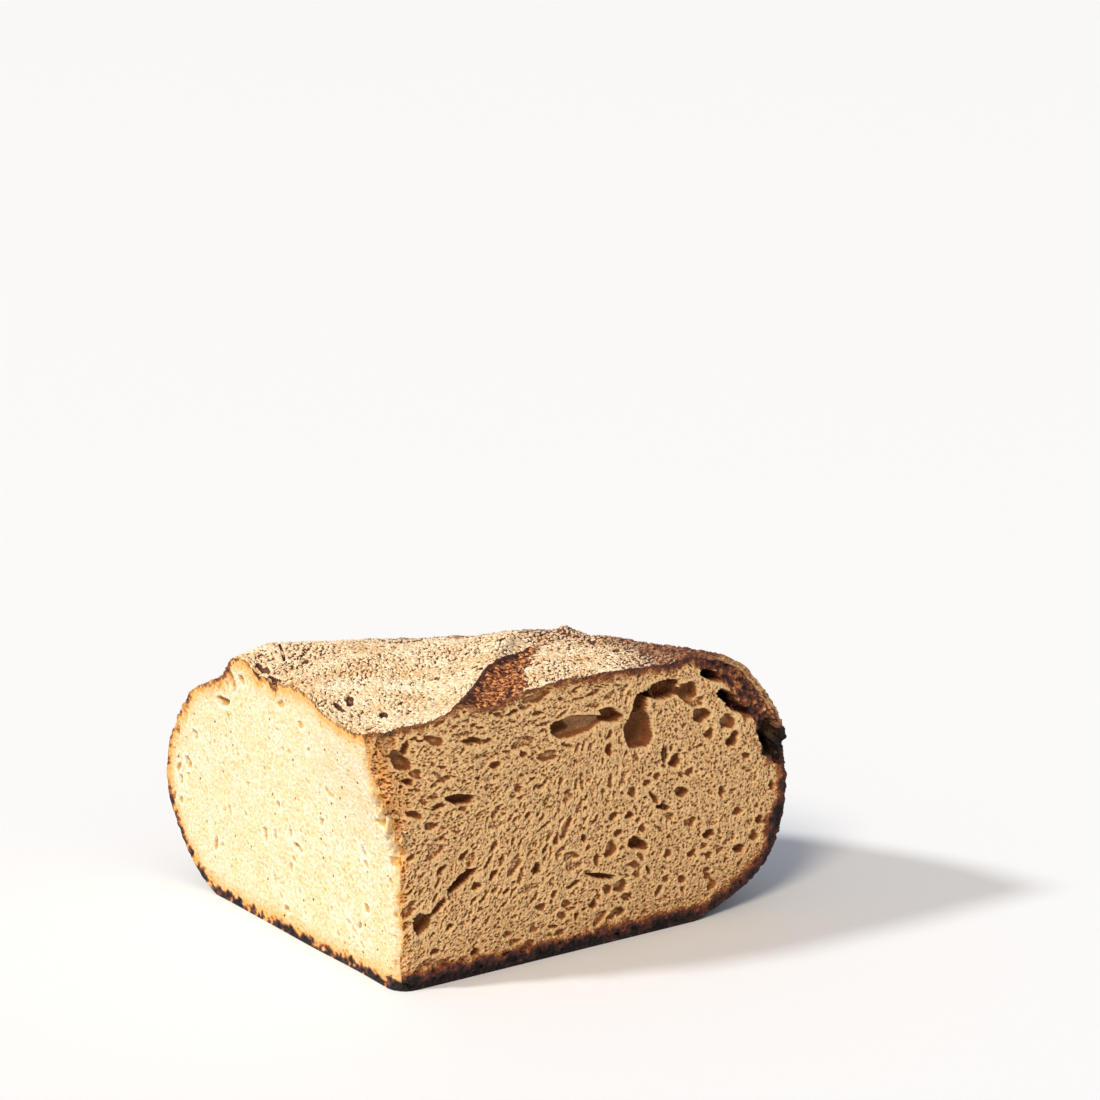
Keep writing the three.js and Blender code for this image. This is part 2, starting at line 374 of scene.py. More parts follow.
    def rounded(self, x: Array, y: Array, z: Array) -> tuple[Array, Array]:
        """Rounds and roughens the near edge, where the two cuts meet.

        Args:
            x, y, z: places in millimetres.

        Returns:
            The new x and y.
        """
        far, near = np.maximum(x, y), np.minimum(x, y)
        keep = 1 - ease(near / (2 * self.corner))
        angle = math.pi / 4 * (1 + np.clip(far / self.corner, 0, 1))
        run = self.corner * (1 - np.cos(angle)) - np.minimum(far, self.corner)
        rise = self.corner * (1 - np.sin(angle))
        rough = 0.7 * lumps(x, y, z, 3.4) + 0.45 * lumps(x, y, z, 1.5)
        least, most, level, tall = self.edge_crumbs
        crumbs = (least + most * bell((z - level) / tall)) * rough * (1 - ease((far - 1.5) / 6))
        along_x = x >= y
        new_x = x + keep * (np.where(along_x, run, rise) + crumbs)
        return new_x, y + keep * (np.where(along_x, rise, run) + crumbs)

    def outward(self, r: Array, z: Array, belly: Array) -> tuple[Array, Array]:
        """Which way is out of the loaf.

        Args:
            r, z: distance out and height in millimetres.
            belly: how far the loaf reaches there.

        Returns:
            The shares of that way that run along r and z.
        """
        away_r = np.maximum(0, r - 0.62 * belly)
        away_z = z - 0.45 * self.crown_height
        size = np.maximum(np.hypot(away_r, away_z), 1e-6)
        return away_r / size, away_z / size

    def swell(self, turn: Array, r: Array) -> Array:
        """Slow rises and dips of the top crust, seen as its skyline.

        Args:
            turn: degrees from the right cut.
            r: distance from the loaf's middle in millimetres.

        Returns:
            The height to add.
        """
        swell = (1 - ease(turn / 60)) * sum(high * bell((r - at) / wide) for at, wide, high in self.swells)
        turned, spread, at, high = self.left_swell
        swell = swell + high * bell((turn - turned) / spread) * bell((r - at) / 18)
        return swell - self.settle * ease(r / 60) * ease((turn - 8) / 16) * (1 - ease((turn - 41) / 12))

    def knife_shift(self, x: Array, y: Array, z: Array) -> tuple[Array, Array]:
        """How far the two cuts' leans and waves move a place, less and less into the loaf.

        Args:
            x, y, z: places in millimetres.

        Returns:
            The shifts along x and y.
        """
        into_x, into_y = ease(x / self.knife_reach), ease(y / self.knife_reach)
        return self.left_shift(y, z) * (1 - into_x), self.right_shift(x, z) * (1 - into_y)

    def points(self, out: Array, turn: Array, up: Array, notes: dict[str, Array] | None = None) -> Array:
        """Places of the loaf, with the crust's relief.

        Args:
            out: share of the way from the middle to the crust.
            turn: degrees from the right cut.
            up: share of the way from the underside to the top.
            notes: where the crust's low places are noted, if wanted.

        Returns:
            An array of x, y and z in millimetres.
        """
        form = self.outline_at(turn)
        reach = form.belly * self.shoulder
        side_r, side_z = self.side_at(turn, up)
        middle_z = mix(-self.trim, self.crown_height, up)
        corner_z = mix(-self.trim, self.crust_height(form, reach), up)
        top_z = mix(-self.trim, self.crust_height(form, out * reach), up)
        r = out * side_r
        z = topped = top_z + mix(middle_z, side_z, out) - mix(middle_z, corner_z, out)
        cos, sin = np.cos(np.radians(turn)), np.sin(np.radians(turn))

        most = np.maximum(out, up)
        skin = ease((most - 0.8) / 0.2) * ease(z / 9)
        away_r, away_z = self.outward(r, z, form.belly)
        x0, y0 = r * cos, r * sin
        bump = skin * (self.broad[1] * lumps(x0, y0, z, self.broad[0])
                       + self.small[1] * lumps(x0, y0, z, self.small[0]))
        slide_x, slide_y = self.knife_shift(x0, y0, z)
        relief, low = self.crust_relief(x0 + slide_x, y0 + slide_y, z, turn)
        if notes is not None:
            notes["low"] = low
        # The relief starts at the skin, and is calm where the top crust meets the side crust
        rind = ease((most - 0.965) / 0.035) * ease(z / 2)
        seam = bell((1 - np.minimum(out, up)) * 60)
        raised = bump - rind * relief * (1 - 0.85 * seam)
        r = r + raised * away_r
        swell = self.top_relief(x0, y0, turn, r) + self.swell(turn, r)
        z = z + raised * away_z + skin * ease((topped - 50) / 20) * swell

        low_end, tall, proud = self.jut
        burst = ease((z - low_end) / 0.8) * (1 - ease((z - low_end - 2) / tall)) * (1 - ease(turn / 7))
        r = r + skin * proud * burst
        x, y = self.rounded(r * cos, r * sin, z)
        wear_size, wear_height, wear_reach = self.edge_wear
        wear = (1 - ease(r / wear_reach)) * ease(z / 6) * wear_height
        slide_x, slide_y = self.knife_shift(x, y, z)
        x = x + slide_x + wear * lumps(3, 5, z, wear_size)
        y = y + slide_y + wear * lumps(9, 2, z, wear_size)
        return np.stack([x, y, np.maximum(z, 0)], -1)


# Sheets of mesh and the pieces made from them


def turn_and_out(share: Array) -> tuple[Array, Array]:
    """Bends a square into a quarter disc.

    Args:
        share: places in the unit square, whose lower edge becomes the right cut.

    Returns:
        Share of the way out, and degrees from the right cut.
    """
    u, v = share[:, 0], share[:, 1]
    out = np.maximum(u, v)
    half = np.minimum(u, v) / np.maximum(out, 1e-9) * 45
    return out, np.where(u >= v, half, 90 - half)


@dataclass
class Sheet:
    """A fine sheet of squares in front, a coarse one behind it, and the wall that joins them."""

    name: str
    columns: int
    rows: int
    back_cells: int = 24

    def build(self, place: Callable[[Array, Array], tuple[Array, dict[str, Array]]]) -> bpy.types.Object:
        """Makes the closed piece.

        Args:
            place: gives millimetres, and numbers for the material to read, for shares of the
                sheet and layers: 0 the front, 1 the edge of the wall behind it and 2 the back.

        Returns:
            The object.
        """
        bm = bmesh.new()
        bmesh.ops.create_grid(bm, x_segments=self.columns, y_segments=self.rows, size=0.5)
        rim = [edge for edge in bm.edges if edge.is_boundary]
        made = bmesh.ops.extrude_edge_only(bm, edges=rim)["geom"]
        ring = [part for part in made if isinstance(part, bmesh.types.BMVert)]
        bmesh.ops.translate(bm, verts=ring, vec=(0, 0, -1))
        back = bmesh.ops.create_grid(bm, x_segments=self.back_cells, y_segments=self.back_cells,
                                     size=0.5, matrix=Matrix.Translation((0, 0, -2)))
        faces = {face for vert in back["verts"] for face in vert.link_faces}
        bmesh.ops.reverse_faces(bm, faces=list(faces))
        bmesh.ops.bridge_loops(bm, edges=[edge for edge in bm.edges if edge.is_boundary])
        mesh = bpy.data.meshes.new(self.name)
        bm.to_mesh(mesh)
        bm.free()

        flat = np.empty(len(mesh.vertices) * 3, np.float32)
        mesh.vertices.foreach_get("co", flat)
        grid = flat.reshape(-1, 3).astype(float)
        low, high = grid.min(0), grid.max(0)
        share = (grid[:, :2] - low[:2]) / (high[:2] - low[:2])
        layer = np.rint(-grid[:, 2]).astype(int)
        spot, notes = place(share, layer)
        mesh.vertices.foreach_set("co", (spot * MM).astype(np.float32).ravel())
        if self.volume(mesh) < 0:
            mesh.flip_normals()
        self.shade(mesh, layer)
        for name, values in notes.items():
            column = mesh.attributes.new(name, "FLOAT", "POINT")
            column.data.foreach_set("value", np.asarray(values, np.float32))
        piece = bpy.data.objects.new(self.name, mesh)
        bpy.context.scene.collection.objects.link(piece)
        return piece

    @staticmethod
    def volume(mesh: bpy.types.Mesh) -> float:
        """Works out the volume of a closed mesh.

        Args:
            mesh: the mesh.

        Returns:
            Its volume, negative where its faces look inwards.
        """
        mesh.calc_loop_triangles()
        corner = np.empty(len(mesh.loop_triangles) * 3, np.int32)
        mesh.loop_triangles.foreach_get("vertices", corner)
        spot = np.empty(len(mesh.vertices) * 3, np.float32)
        mesh.vertices.foreach_get("co", spot)
        a, b, c = (spot.reshape(-1, 3)[corner.reshape(-1, 3)[:, i]].astype(float) for i in range(3))
        return float(np.einsum("ij,ij->i", a, np.cross(b, c)).sum() / 6)

    @staticmethod
    def shade(mesh: bpy.types.Mesh, layer: Array) -> None:
        """Shades the front smooth and keeps the hidden wall and back flat.

        Args:
            mesh: the piece's mesh.
            layer: 0 for each vertex of the front.
        """
        owner = np.empty(len(mesh.polygons), np.int32)
        mesh.polygons.foreach_get("loop_start", owner)
        corners = np.empty(len(mesh.loops), np.int32)
        mesh.loops.foreach_get("vertex_index", corners)
        hidden = np.maximum.reduceat(layer[corners], owner) > 0
        mesh.polygons.foreach_set("use_smooth", ~hidden)
        mesh.update()


def finish_piece(piece: bpy.types.Object, material: bpy.types.Material) -> None:
    """Dresses a piece, keeps it inside the solid's box and ties it to the loaf.

    Args:
        piece: the piece.
        material: its finish.
    """
    spot = np.empty(len(piece.data.vertices) * 3, np.float32)
    piece.data.vertices.foreach_get("co", spot)
    held = np.clip(spot.reshape(-1, 3), np.array(CAD_BOX[0]), np.array(CAD_BOX[1]))
    piece.data.vertices.foreach_set("co", held.astype(np.float32).ravel())
    piece.data.update()
    piece.data.materials.append(material)
    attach(piece, "root")
    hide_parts("loaf")
    log.info("%s: %d faces", piece.name, len(piece.data.polygons))


# Holes of the crumb


@dataclass(frozen=True)
class Hole:
    """One hole in a cut face: its middle along the face and up, its size, tilt and depth."""

    along: float
    up: float
    length: float
    height: float
    tilt: float
    depth: float
    undercut: float = 0.0


RIGHT_HOLES = tuple(Hole(*row) for row in (
    (85, 70.5, 7.5, 6.4, 72, 7, 0.8), (84.2, 63.4, 13, 11, 74, 6.5, 1), (61.4, 68, 18, 6.6, -3, 3.8, 0.4),
    (56.5, 68, 9, 4.2, -3, 6.5, 0.6), (74, 69, 9.5, 4.2, -13, 5, 0.6), (93, 73.6, 15, 5.4, -3, 8, 0.9),
    (102.4, 71.4, 8.4, 6, -40, 5, 0.6), (111.5, 75, 9, 3.4, -24, 7, 0.5),
    (118.6, 66.4, 11.5, 4.6, -38, 9, 0.7), (124.6, 61.4, 6.5, 3.4, -44, 5, 0.4),
    (134.5, 52.4, 11, 8.4, -50, 9, 0.6), (137.2, 47, 8.5, 5.4, -70, 9, 0.3),
    (134.6, 57.4, 3.4, 2.6, -60, 2, 0.2), (107.4, 63.6, 6.4, 5, -9, 4, 0.4),
    (117.3, 60, 6, 5, -9, 3.4, 0.3), (110.5, 57.5, 4, 3.2, 78, 2.8, 0.3),
    (119.3, 54.2, 5.6, 4.2, 39, 4, 0.5), (94, 54.2, 6.4, 2.6, 99, 3.6, 0.4),
    (97.8, 51.2, 5, 4, -10, 3.6, 0.4), (100.2, 41.2, 4.8, 3.6, -10, 3.4, 0.3),
    (115.4, 38.7, 3.6, 2.8, 78, 2.4), (90.1, 41.2, 5.6, 1.9, -53, 3.2, 0.3),
    (93.5, 37.6, 5.6, 2, -20, 3.2, 0.3), (91.1, 47.6, 2.8, 2.4, -10, 1.8), (87.4, 46.2, 3, 2.3, -10, 2),
    (81.9, 44.4, 4.2, 2.8, -45, 2.4), (80.9, 37.5, 3.2, 2.7, -10, 2.8), (75, 38.3, 3.4, 2.8, -10, 2),
    (83.9, 28.2, 8, 3.9, -19, 5, 0.6), (110.6, 26.2, 4.4, 3.2, -11, 3.4, 0.3),
    (122.3, 19.4, 4.6, 3.2, -11, 3.2, 0.3), (130.3, 27.1, 3.8, 3, -11, 3), (128.1, 22.5, 4, 4, 51, 2.4),
    (104.2, 21.4, 4.2, 2.3, 21, 2.4), (110.7, 19.5, 3.2, 2.4, -11, 1.8), (121.7, 31.3, 3.6, 2.8, -10, 2),
    (135, 37, 3.4, 2.6, 78, 2.8), (124.5, 48.3, 3.2, 2.4, -10, 2), (74, 28.4, 5.6, 4.4, 84, 2.8),
    (68.9, 26.3, 3.8, 2.6, 84, 2), (76.9, 32.8, 3.4, 2.6, -11, 2), (67.9, 12.7, 3.2, 3, 78, 2.6),
    (58.1, 14.7, 3.8, 2.8, -12, 2.2), (49.2, 15.6, 3.4, 2.6, 6, 2.2), (61.7, 10.3, 2.6, 2.3, 52, 2.2),
    (47.5, 27.5, 4, 3.5, 17, 3.6, 0.3), (77.7, 16.3, 5.4, 4, -11, 2.8, 0.3),
    (73, 16.3, 3.8, 3.2, -11, 2.2), (70.7, 20.8, 12, 1.6, -16, 4, 0.3), (88, 19.2, 3.4, 1.8, -58, 2.2),
    (83.2, 21.7, 4.8, 2.8, -34, 1.6), (91.8, 12.2, 3.8, 2.8, 52, 1.8), (61, 20.3, 4, 2, 27, 2.4),
    (53.8, 18.6, 3, 2, 52, 1.8), (110.4, 12.9, 3.2, 2.4, -11, 2), (100.5, 14, 3.5, 2.6, -11, 2.2),
    (50.6, 32.9, 3.4, 2, 52, 2.2), (54.5, 35.2, 3.9, 2.6, 59, 2.2), (64.5, 33.6, 3.3, 1.8, -59, 2.8),
    (44.3, 44.3, 2.6, 1.7, 52, 1.8), (50, 40, 5, 1.1, 28, 1.8), (21.7, 52.9, 8.8, 3.6, -13, 5, 0.5),
    (14.4, 52, 5.4, 1.7, 13, 2.2), (6.6, 51, 5.6, 2.2, -17, 2.6), (5.4, 60.5, 3.8, 2, -14, 3),
    (25.9, 69.4, 7.6, 1.9, -10, 3, 0.3), (33.3, 61.1, 3.9, 2.6, -10, 2.4), (39.4, 75.4, 4.8, 1.5, 8, 1.8),
    (34.4, 75.6, 2.8, 1.6, -1, 1.8), (48, 73.8, 4.2, 1.5, 2, 1.8), (3.4, 66.6, 8, 4.4, -34, 4.2, 0.4),
    (5, 70.2, 5, 2.4, 62, 3.2), (-0.5, 72.5, 9, 7, 80, 1.3), (22.6, 36.2, 4.2, 2.4, 22, 2.6),
    (21.5, 29, 11, 3.8, 26, 5.5, 0.6), (8.2, 19, 7.2, 5.6, 46, 5, 0.5), (13.7, 22.8, 7, 2.8, 40, 3.4, 0.3),
    (14.8, 33.6, 4.2, 2.1, 34, 2.4), (30.8, 32.8, 5.2, 1.6, 46, 2.6), (32.5, 28.6, 3.8, 2.4, 46, 2.6),
    (26.6, 26.5, 3.6, 2.6, -11, 2.4), (36.9, 22.9, 3.2, 1.5, 28, 2), (17.3, 16.2, 3, 1.9, 17, 1.8),
    (12.4, 9.9, 3.6, 1.9, -12, 2), (26.1, 6.7, 3.4, 2.4, -12, 3.4), (43, 62.6, 2.8, 2.1, -10, 2),
    (51.7, 60.6, 6.8, 3.6, -1, 1.8), (73.4, 58.9, 4.6, 2.9, 84, 3), (41.2, 52.6, 3, 2, -10, 2),
))
LEFT_HOLES = tuple(Hole(*row) for row in (
    (97.5, 63.4, 7, 3.2, 0, 3.4, 0.4), (92, 71, 7.2, 3.6, 55, 2.8), (86, 72.4, 4.8, 2.8, 20, 2),
    (115.5, 48.8, 4.2, 2.6, 12, 2.2), (120.5, 38.6, 4.6, 3.4, 30, 2.6), (55.2, 28.4, 5, 2.2, 20, 2.8),
    (25.1, 12, 7.6, 1.5, 30, 2.8), (21.6, 14.2, 3.2, 1.5, -60, 2.2), (18.6, 37, 4.2, 2.1, 40, 2.4),
    (41.9, 39.8, 3.4, 2, -52, 1.8), (73.8, 27.5, 5.4, 3, 75, 1.4), (67.8, 29.1, 3, 2.2, 80, 1.4),
    (59.6, 31.8, 3, 2.2, 80, 1.4), (66.3, 38.7, 2.6, 2, -70, 1.6), (46.2, 60.4, 2.4, 1.6, -30, 2.4),
    (62.3, 7.4, 4.2, 1.8, 0, 2.2), (125.6, 32, 3.4, 2.6, -50, 2),
))
# Pits in the top crust, which the material shows as dark crust without flour: painted shade
TOP_CHIPS = tuple(Hole(*row) for row in (
    (1.9, 77, 7, 4.5, 80, 2.2), (1, 68, 8, 3.4, 84, 1.8), (0.5, 31, 9, 3.2, 84, 1.6),
    (6.5, 17, 5, 3.5, 60, 1.6), (12.3, 83, 13, 1, 68, 1.4), (14.2, 73, 6, 3, 60, 1.7),
    (48.5, 58.2, 6, 3.4, 30, 1.7), (5.6, 33.6, 8, 3, 62, 1.6), (45.7, 29.2, 4, 1.8, 20, 1.4),
    (92.7, 43.8, 5, 2.4, 30, 1.4), (93.9, 36.4, 5, 2, 50, 1.3), (60.4, 18.7, 6, 3, 20, 1.5),
    (14.8, 21.4, 4, 1.8, 30, 1.2), (90.2, 20.2, 5, 2.2, 40, 1.3),
))


@dataclass(frozen=True)
class Flow:
    """Which way the dough was stretched near one spot of a cut face, and how much."""

    along: float
    up: float
    angle: float
    reach: float
    stretch: float


RIGHT_FLOW = tuple(Flow(*row) for row in (
    (14, 24, 42, 20, 2.1), (32, 34, 46, 18, 2), (30, 6, 4, 16, 1.9), (70, 6, 0, 18, 1.7),
    (110, 8, 4, 18, 1.5), (28, 73, 3, 14, 2.4), (62, 77, 4, 14, 2.6), (66, 52, 84, 13, 1.9),
    (80, 64, 70, 10, 1.7), (104, 42, 10, 22, 1.15), (124, 62, -42, 12, 1.3), (131, 30, 76, 13, 1.3),
    (18, 55, -8, 16, 1.9), (50, 38, 54, 14, 1.8), (46, 60, 2, 14, 1.9), (90, 22, -10, 20, 1.2),
))
LEFT_FLOW = tuple(Flow(*row) for row in (
    (15, 40, 40, 25, 1.5), (60, 20, 60, 25, 1.3), (60, 65, 5, 20, 1.6), (110, 50, 45, 25, 1.4),
    (40, 6, 0, 18, 1.5), (115, 25, -50, 20, 1.4),
))
CRUST_FLOW = tuple(Flow(*row) for row in (
    (20, 20, 45, 40, 1.5), (100, 20, 80, 40, 1.5), (20, 100, 10, 40, 1.5), (160, 40, 30, 60, 1.4),
))


def flow_at(spots: Sequence[Flow], along: Array, up: Array) -> tuple[Array, Array]:
    """The dough's direction and stretch at any place of a cut face.

    Args:
        spots: what is known of the face.
        along, up: places in millimetres.

    Returns:
        Angle in radians and stretch.
    """
    cos = sin = stretch = total = 0.0
    for spot in spots:
        weight = bell(np.hypot(along - spot.along, up - spot.up) / spot.reach) + 1e-4
        twice = 2 * math.radians(spot.angle)
        cos, sin = cos + weight * math.cos(twice), sin + weight * math.sin(twice)
        stretch, total = stretch + weight * spot.stretch, total + weight
    return 0.5 * np.arctan2(sin, cos), stretch / total


def foam(spots: Sequence[Flow], along: Array, up: Array, size: float, salt: int) -> tuple[Array, Array]:
    """Cells of a foam, stretched as the dough was.

    Args:
        spots: the surface's flow.
        along, up: places in millimetres.
        size: width of one cell in millimetres.
        salt: a number that makes one foam differ from the next.

    Returns:
        How far a place is from its cell's wall, from 0 to 1, and one value from 0 to 1 for each cell.
    """
    angle, stretch = flow_at(spots, along, up)
    cos, sin, long = np.cos(angle), np.sin(angle), np.sqrt(stretch)
    a = along / size + 0.45 * lumps(along, up, salt, 1.5 * size)
    b = up / size + 0.45 * lumps(along, up, salt + 50, 1.5 * size)
    first, second, mark = np.full(a.shape, 9.0), np.full(a.shape, 9.0), np.zeros(a.shape)
    for i in range(-2, 3):
        for j in range(-2, 3):
            col, row = np.floor(a) + i, np.floor(b) + j
            dx = a - col - 0.5 - 0.45 * speck(col, row, salt)
            dz = b - row - 0.5 - 0.45 * speck(col, row, salt + 1)
            far = np.hypot((dx * cos + dz * sin) / long, (dz * cos - dx * sin) * long)
            mark = np.where(far < first, speck(col, row, salt + 2), mark)
            second = np.minimum(second, np.maximum(first, far))
            first = np.minimum(first, far)
    return np.clip(second - first, 0, 1), 0.5 + 0.5 * mark


def blurred(grid: Array, cells: int) -> Array:
    """Averages a raster over a square of cells, twice, for a soft blur.

    Args:
        grid: the raster.
        cells: how far the square reaches from its middle.

    Returns:
        The blurred raster.
    """
    for _ in range(2):
        for axis in (0, 1):
            pads = [(cells + 1, cells) if side == axis else (0, 0) for side in (0, 1)]
            total = np.cumsum(np.pad(grid, pads, mode="edge"), axis=axis)
            size = grid.shape[axis]
            last = np.take(total, range(2 * cells + 1, 2 * cells + 1 + size), axis=axis)
            first = np.take(total, range(size), axis=axis)
            grid = (last - first) / (2 * cells + 1)
    return grid


@dataclass
class Relief:
    """How deep a surface is sunk, drawn hole by hole on a fine raster that begins at `start`."""

    width: float
    height: float
    start: tuple[float, float] = (0.0, 0.0)
    step: float = 0.16
    depth: Array = field(init=False)
    shift: Array = field(init=False)
    low: Array = field(init=False)

    def __post_init__(self) -> None:
        """Starts with a surface that has no holes."""
        shape = (int(self.height / self.step) + 1, int(self.width / self.step) + 1)
        self.depth = np.zeros(shape)
        self.shift = np.zeros(shape + (2,))
        self.low = np.zeros(shape)

    def grid(self) -> tuple[Array, Array]:
        """Along and up of every place of the raster."""
        up, along = np.mgrid[0:self.depth.shape[0], 0:self.depth.shape[1]] * self.step
        return along + self.start[0], up + self.start[1]

    def cell(self, along: Array | float, up: Array | float) -> tuple[Array, Array]:
        """Column and row of a place, with their fractions."""
        return (along - self.start[0]) / self.step, (up - self.start[1]) / self.step

    def note_low(self, cells: int, depth: float, slope: float) -> None:
        """Notes where the surface is lower than its neighbours, or steep.

        Args:
            cells: how far the neighbours reach.
            depth: how much lower counts in full, in millimetres.
            slope: how steep a place has to be to count in full.
        """
        steep = np.hypot(*np.gradient(self.depth, self.step)) / slope
        self.low = (self.depth - blurred(self.depth, cells)) / depth + 0.6 * np.clip(steep - 0.4, 0, 1)

    def window(self, hole: Hole) -> tuple[slice, slice]:
        """Finds the part of the raster that a hole can reach.

        Args:
            hole: the hole.

        Returns:
            Its rows and columns.
        """
        reach = 0.72 * max(hole.length, hole.height) / self.step
        col, row = self.cell(hole.along, hole.up)
        return tuple(slice(max(0, int(at - reach)), max(0, int(at + reach)) + 2) for at in (row, col))

    def taken(self, hole: Hole) -> bool:
        """Finds out whether a hole's middle or ends would fall in another hole.

        Args:
            hole: the hole.

        Returns:
            True where they would, or would miss the raster.
        """
        angle = math.radians(hole.tilt)
        for part in (-0.45, 0.0, 0.45):
            col, row = self.cell(hole.along + part * hole.length * math.cos(angle),
                                 hole.up + part * hole.length * math.sin(angle))
            col, row = int(col), int(row)
            inside = 0 <= row < self.depth.shape[0] and 0 <= col < self.depth.shape[1]
            if not inside or self.depth[row, col] > 0.1:
                return True
        return False

    def stamp(self, hole: Hole, rng: np.random.Generator) -> None:
        """Sinks one uneven hole into the surface.

        Args:
            hole: the hole.
            rng: the seeded source of its unevenness.
        """
        rows, cols = self.window(hole)
        deep = self.depth[rows, cols]
        if deep.size == 0:
            return
        up, along = np.mgrid[rows.start:rows.start + deep.shape[0], cols.start:cols.start + deep.shape[1]]
        col, row = self.cell(hole.along, hole.up)
        dx, dz = (along - col) * self.step, (up - row) * self.step
        angle = math.radians(hole.tilt)
        a = (dx * math.cos(angle) + dz * math.sin(angle)) / (hole.length / 2)
        b = (dz * math.cos(angle) - dx * math.sin(angle)) / (hole.height / 2)
        around = np.arctan2(b, a)
        phase = rng.uniform(0, 2 * math.pi, 3)
        uneven = (1 + 0.10 * np.sin(2 * around + phase[0]) + 0.09 * np.sin(3 * around + phase[1])
                  + 0.06 * np.sin(5 * around + phase[2]))
        far = np.hypot(a, b) / uneven
        bowl = np.sqrt(np.clip(1 - far ** 3.2, 0, 1))
        sunk = hole.depth * bowl
        self.depth[rows, cols] = (deep ** 4 + sunk ** 4) ** 0.25
        if hole.undercut > 0:
            push = hole.undercut * 4 * bowl * (1 - bowl) * (sunk > deep)
            away = np.maximum(np.hypot(dx, dz), 1e-6)
            self.shift[rows, cols, 0] += push * dx / away
            self.shift[rows, cols, 1] += push * dz / away

    def scatter(self, spots: Sequence[Flow], sizes: tuple[float, float], count: int, deep: float,
                rng: np.random.Generator) -> None:
        """Fills free places with holes of a range of widths, stretched as the dough was.

        Args:
            spots: the surface's flow.
            sizes: least and greatest width in millimetres.
            count: how many places are tried.
            deep: depth as a share of the width.
            rng: the seeded source of places and sizes.
        """
        along = self.start[0] + rng.uniform(0, self.width, count)
        up = self.start[1] + rng.uniform(0, self.height, count)
        angle, stretch = flow_at(spots, along, up)
        tilt = np.degrees(angle) + rng.normal(0, 18, count)
        wide = sizes[0] + (sizes[1] - sizes[0]) * rng.uniform(0, 1, count) ** 2
        long = wide * stretch * rng.uniform(0.8, 1.4, count)
        down = wide * deep * rng.uniform(0.25, 1.2, count)
        for i in range(count):
            hole = Hole(along[i], up[i], long[i], wide[i], tilt[i], down[i])
            if not self.taken(hole):
                self.stamp(hole, rng)

    def sample(self, grid: Array, along: Array, up: Array) -> Array:
        """Reads a raster at any place, blending the four points round it.

        Args:
            grid: the depth, the shift or a raster of the same shape.
            along, up: places in millimetres.

        Returns:
            The values there.
        """
        c, r = self.cell(np.asarray(along), np.asarray(up))
        c, r = np.clip(c, 0, grid.shape[1] - LAST_CELL), np.clip(r, 0, grid.shape[0] - LAST_CELL)
        ci, ri = c.astype(int), r.astype(int)
        wide, tall = c - ci, r - ri
        if grid.ndim == 3:
            wide, tall = wide[..., None], tall[..., None]
        low = mix(grid[ri, ci], grid[ri, ci + 1], wide)
        return mix(low, mix(grid[ri + 1, ci], grid[ri + 1, ci + 1], wide), tall)


# Cut faces


@dataclass(frozen=True)
class Rind:
    """The crust in section at one direction from the middle of the cut face."""

    direction: float
    thickness: float
    darkness: float
    torn: float = 0.0


@dataclass(frozen=True)
class Section:
    """The crust in section near each place: how far its outside is, and what a Rind says there."""

    rim: Array
    thick: Array
    dark: Array
    torn: Array


class Side(Enum):
    """The two knife faces, each by its turn from the right cut in degrees."""

    RIGHT = 0.0
    LEFT = 90.0


RIGHT_RIND = tuple(Rind(*row) for row in (
    (-180, 7, 1), (-140, 7.5, 1), (-100, 8, 0.94), (-75, 6.8, 0.8), (-50, 6.4, 0.76), (-36, 6.2, 0.78),
    (-27, 7.6, 0.94), (-16, 5, 0.72), (-4, 4.2, 0.66), (1, 4, 0.66, 0.2), (8, 7.5, 0.6, 1),
    (30, 9.6, 0.47, 1), (48, 10, 0.45, 1), (61, 8.4, 0.46, 1), (74, 4.8, 0.5, 0.7), (88, 4.2, 0.64, 0.1),
    (110, 4.2, 0.58), (140, 4, 0.42), (155, 3.8, 0.34), (180, 3, 0.28),
))
LEFT_RIND = tuple(Rind(*row) for row in (
    (-180, 4, 1), (-100, 3.8, 0.95), (-55, 3.2, 0.7), (-20, 2.4, 0.3), (40, 2.4, 0.25), (75, 3, 0.32),
    (100, 2, 0.3), (180, 1.2, 0.26),
))


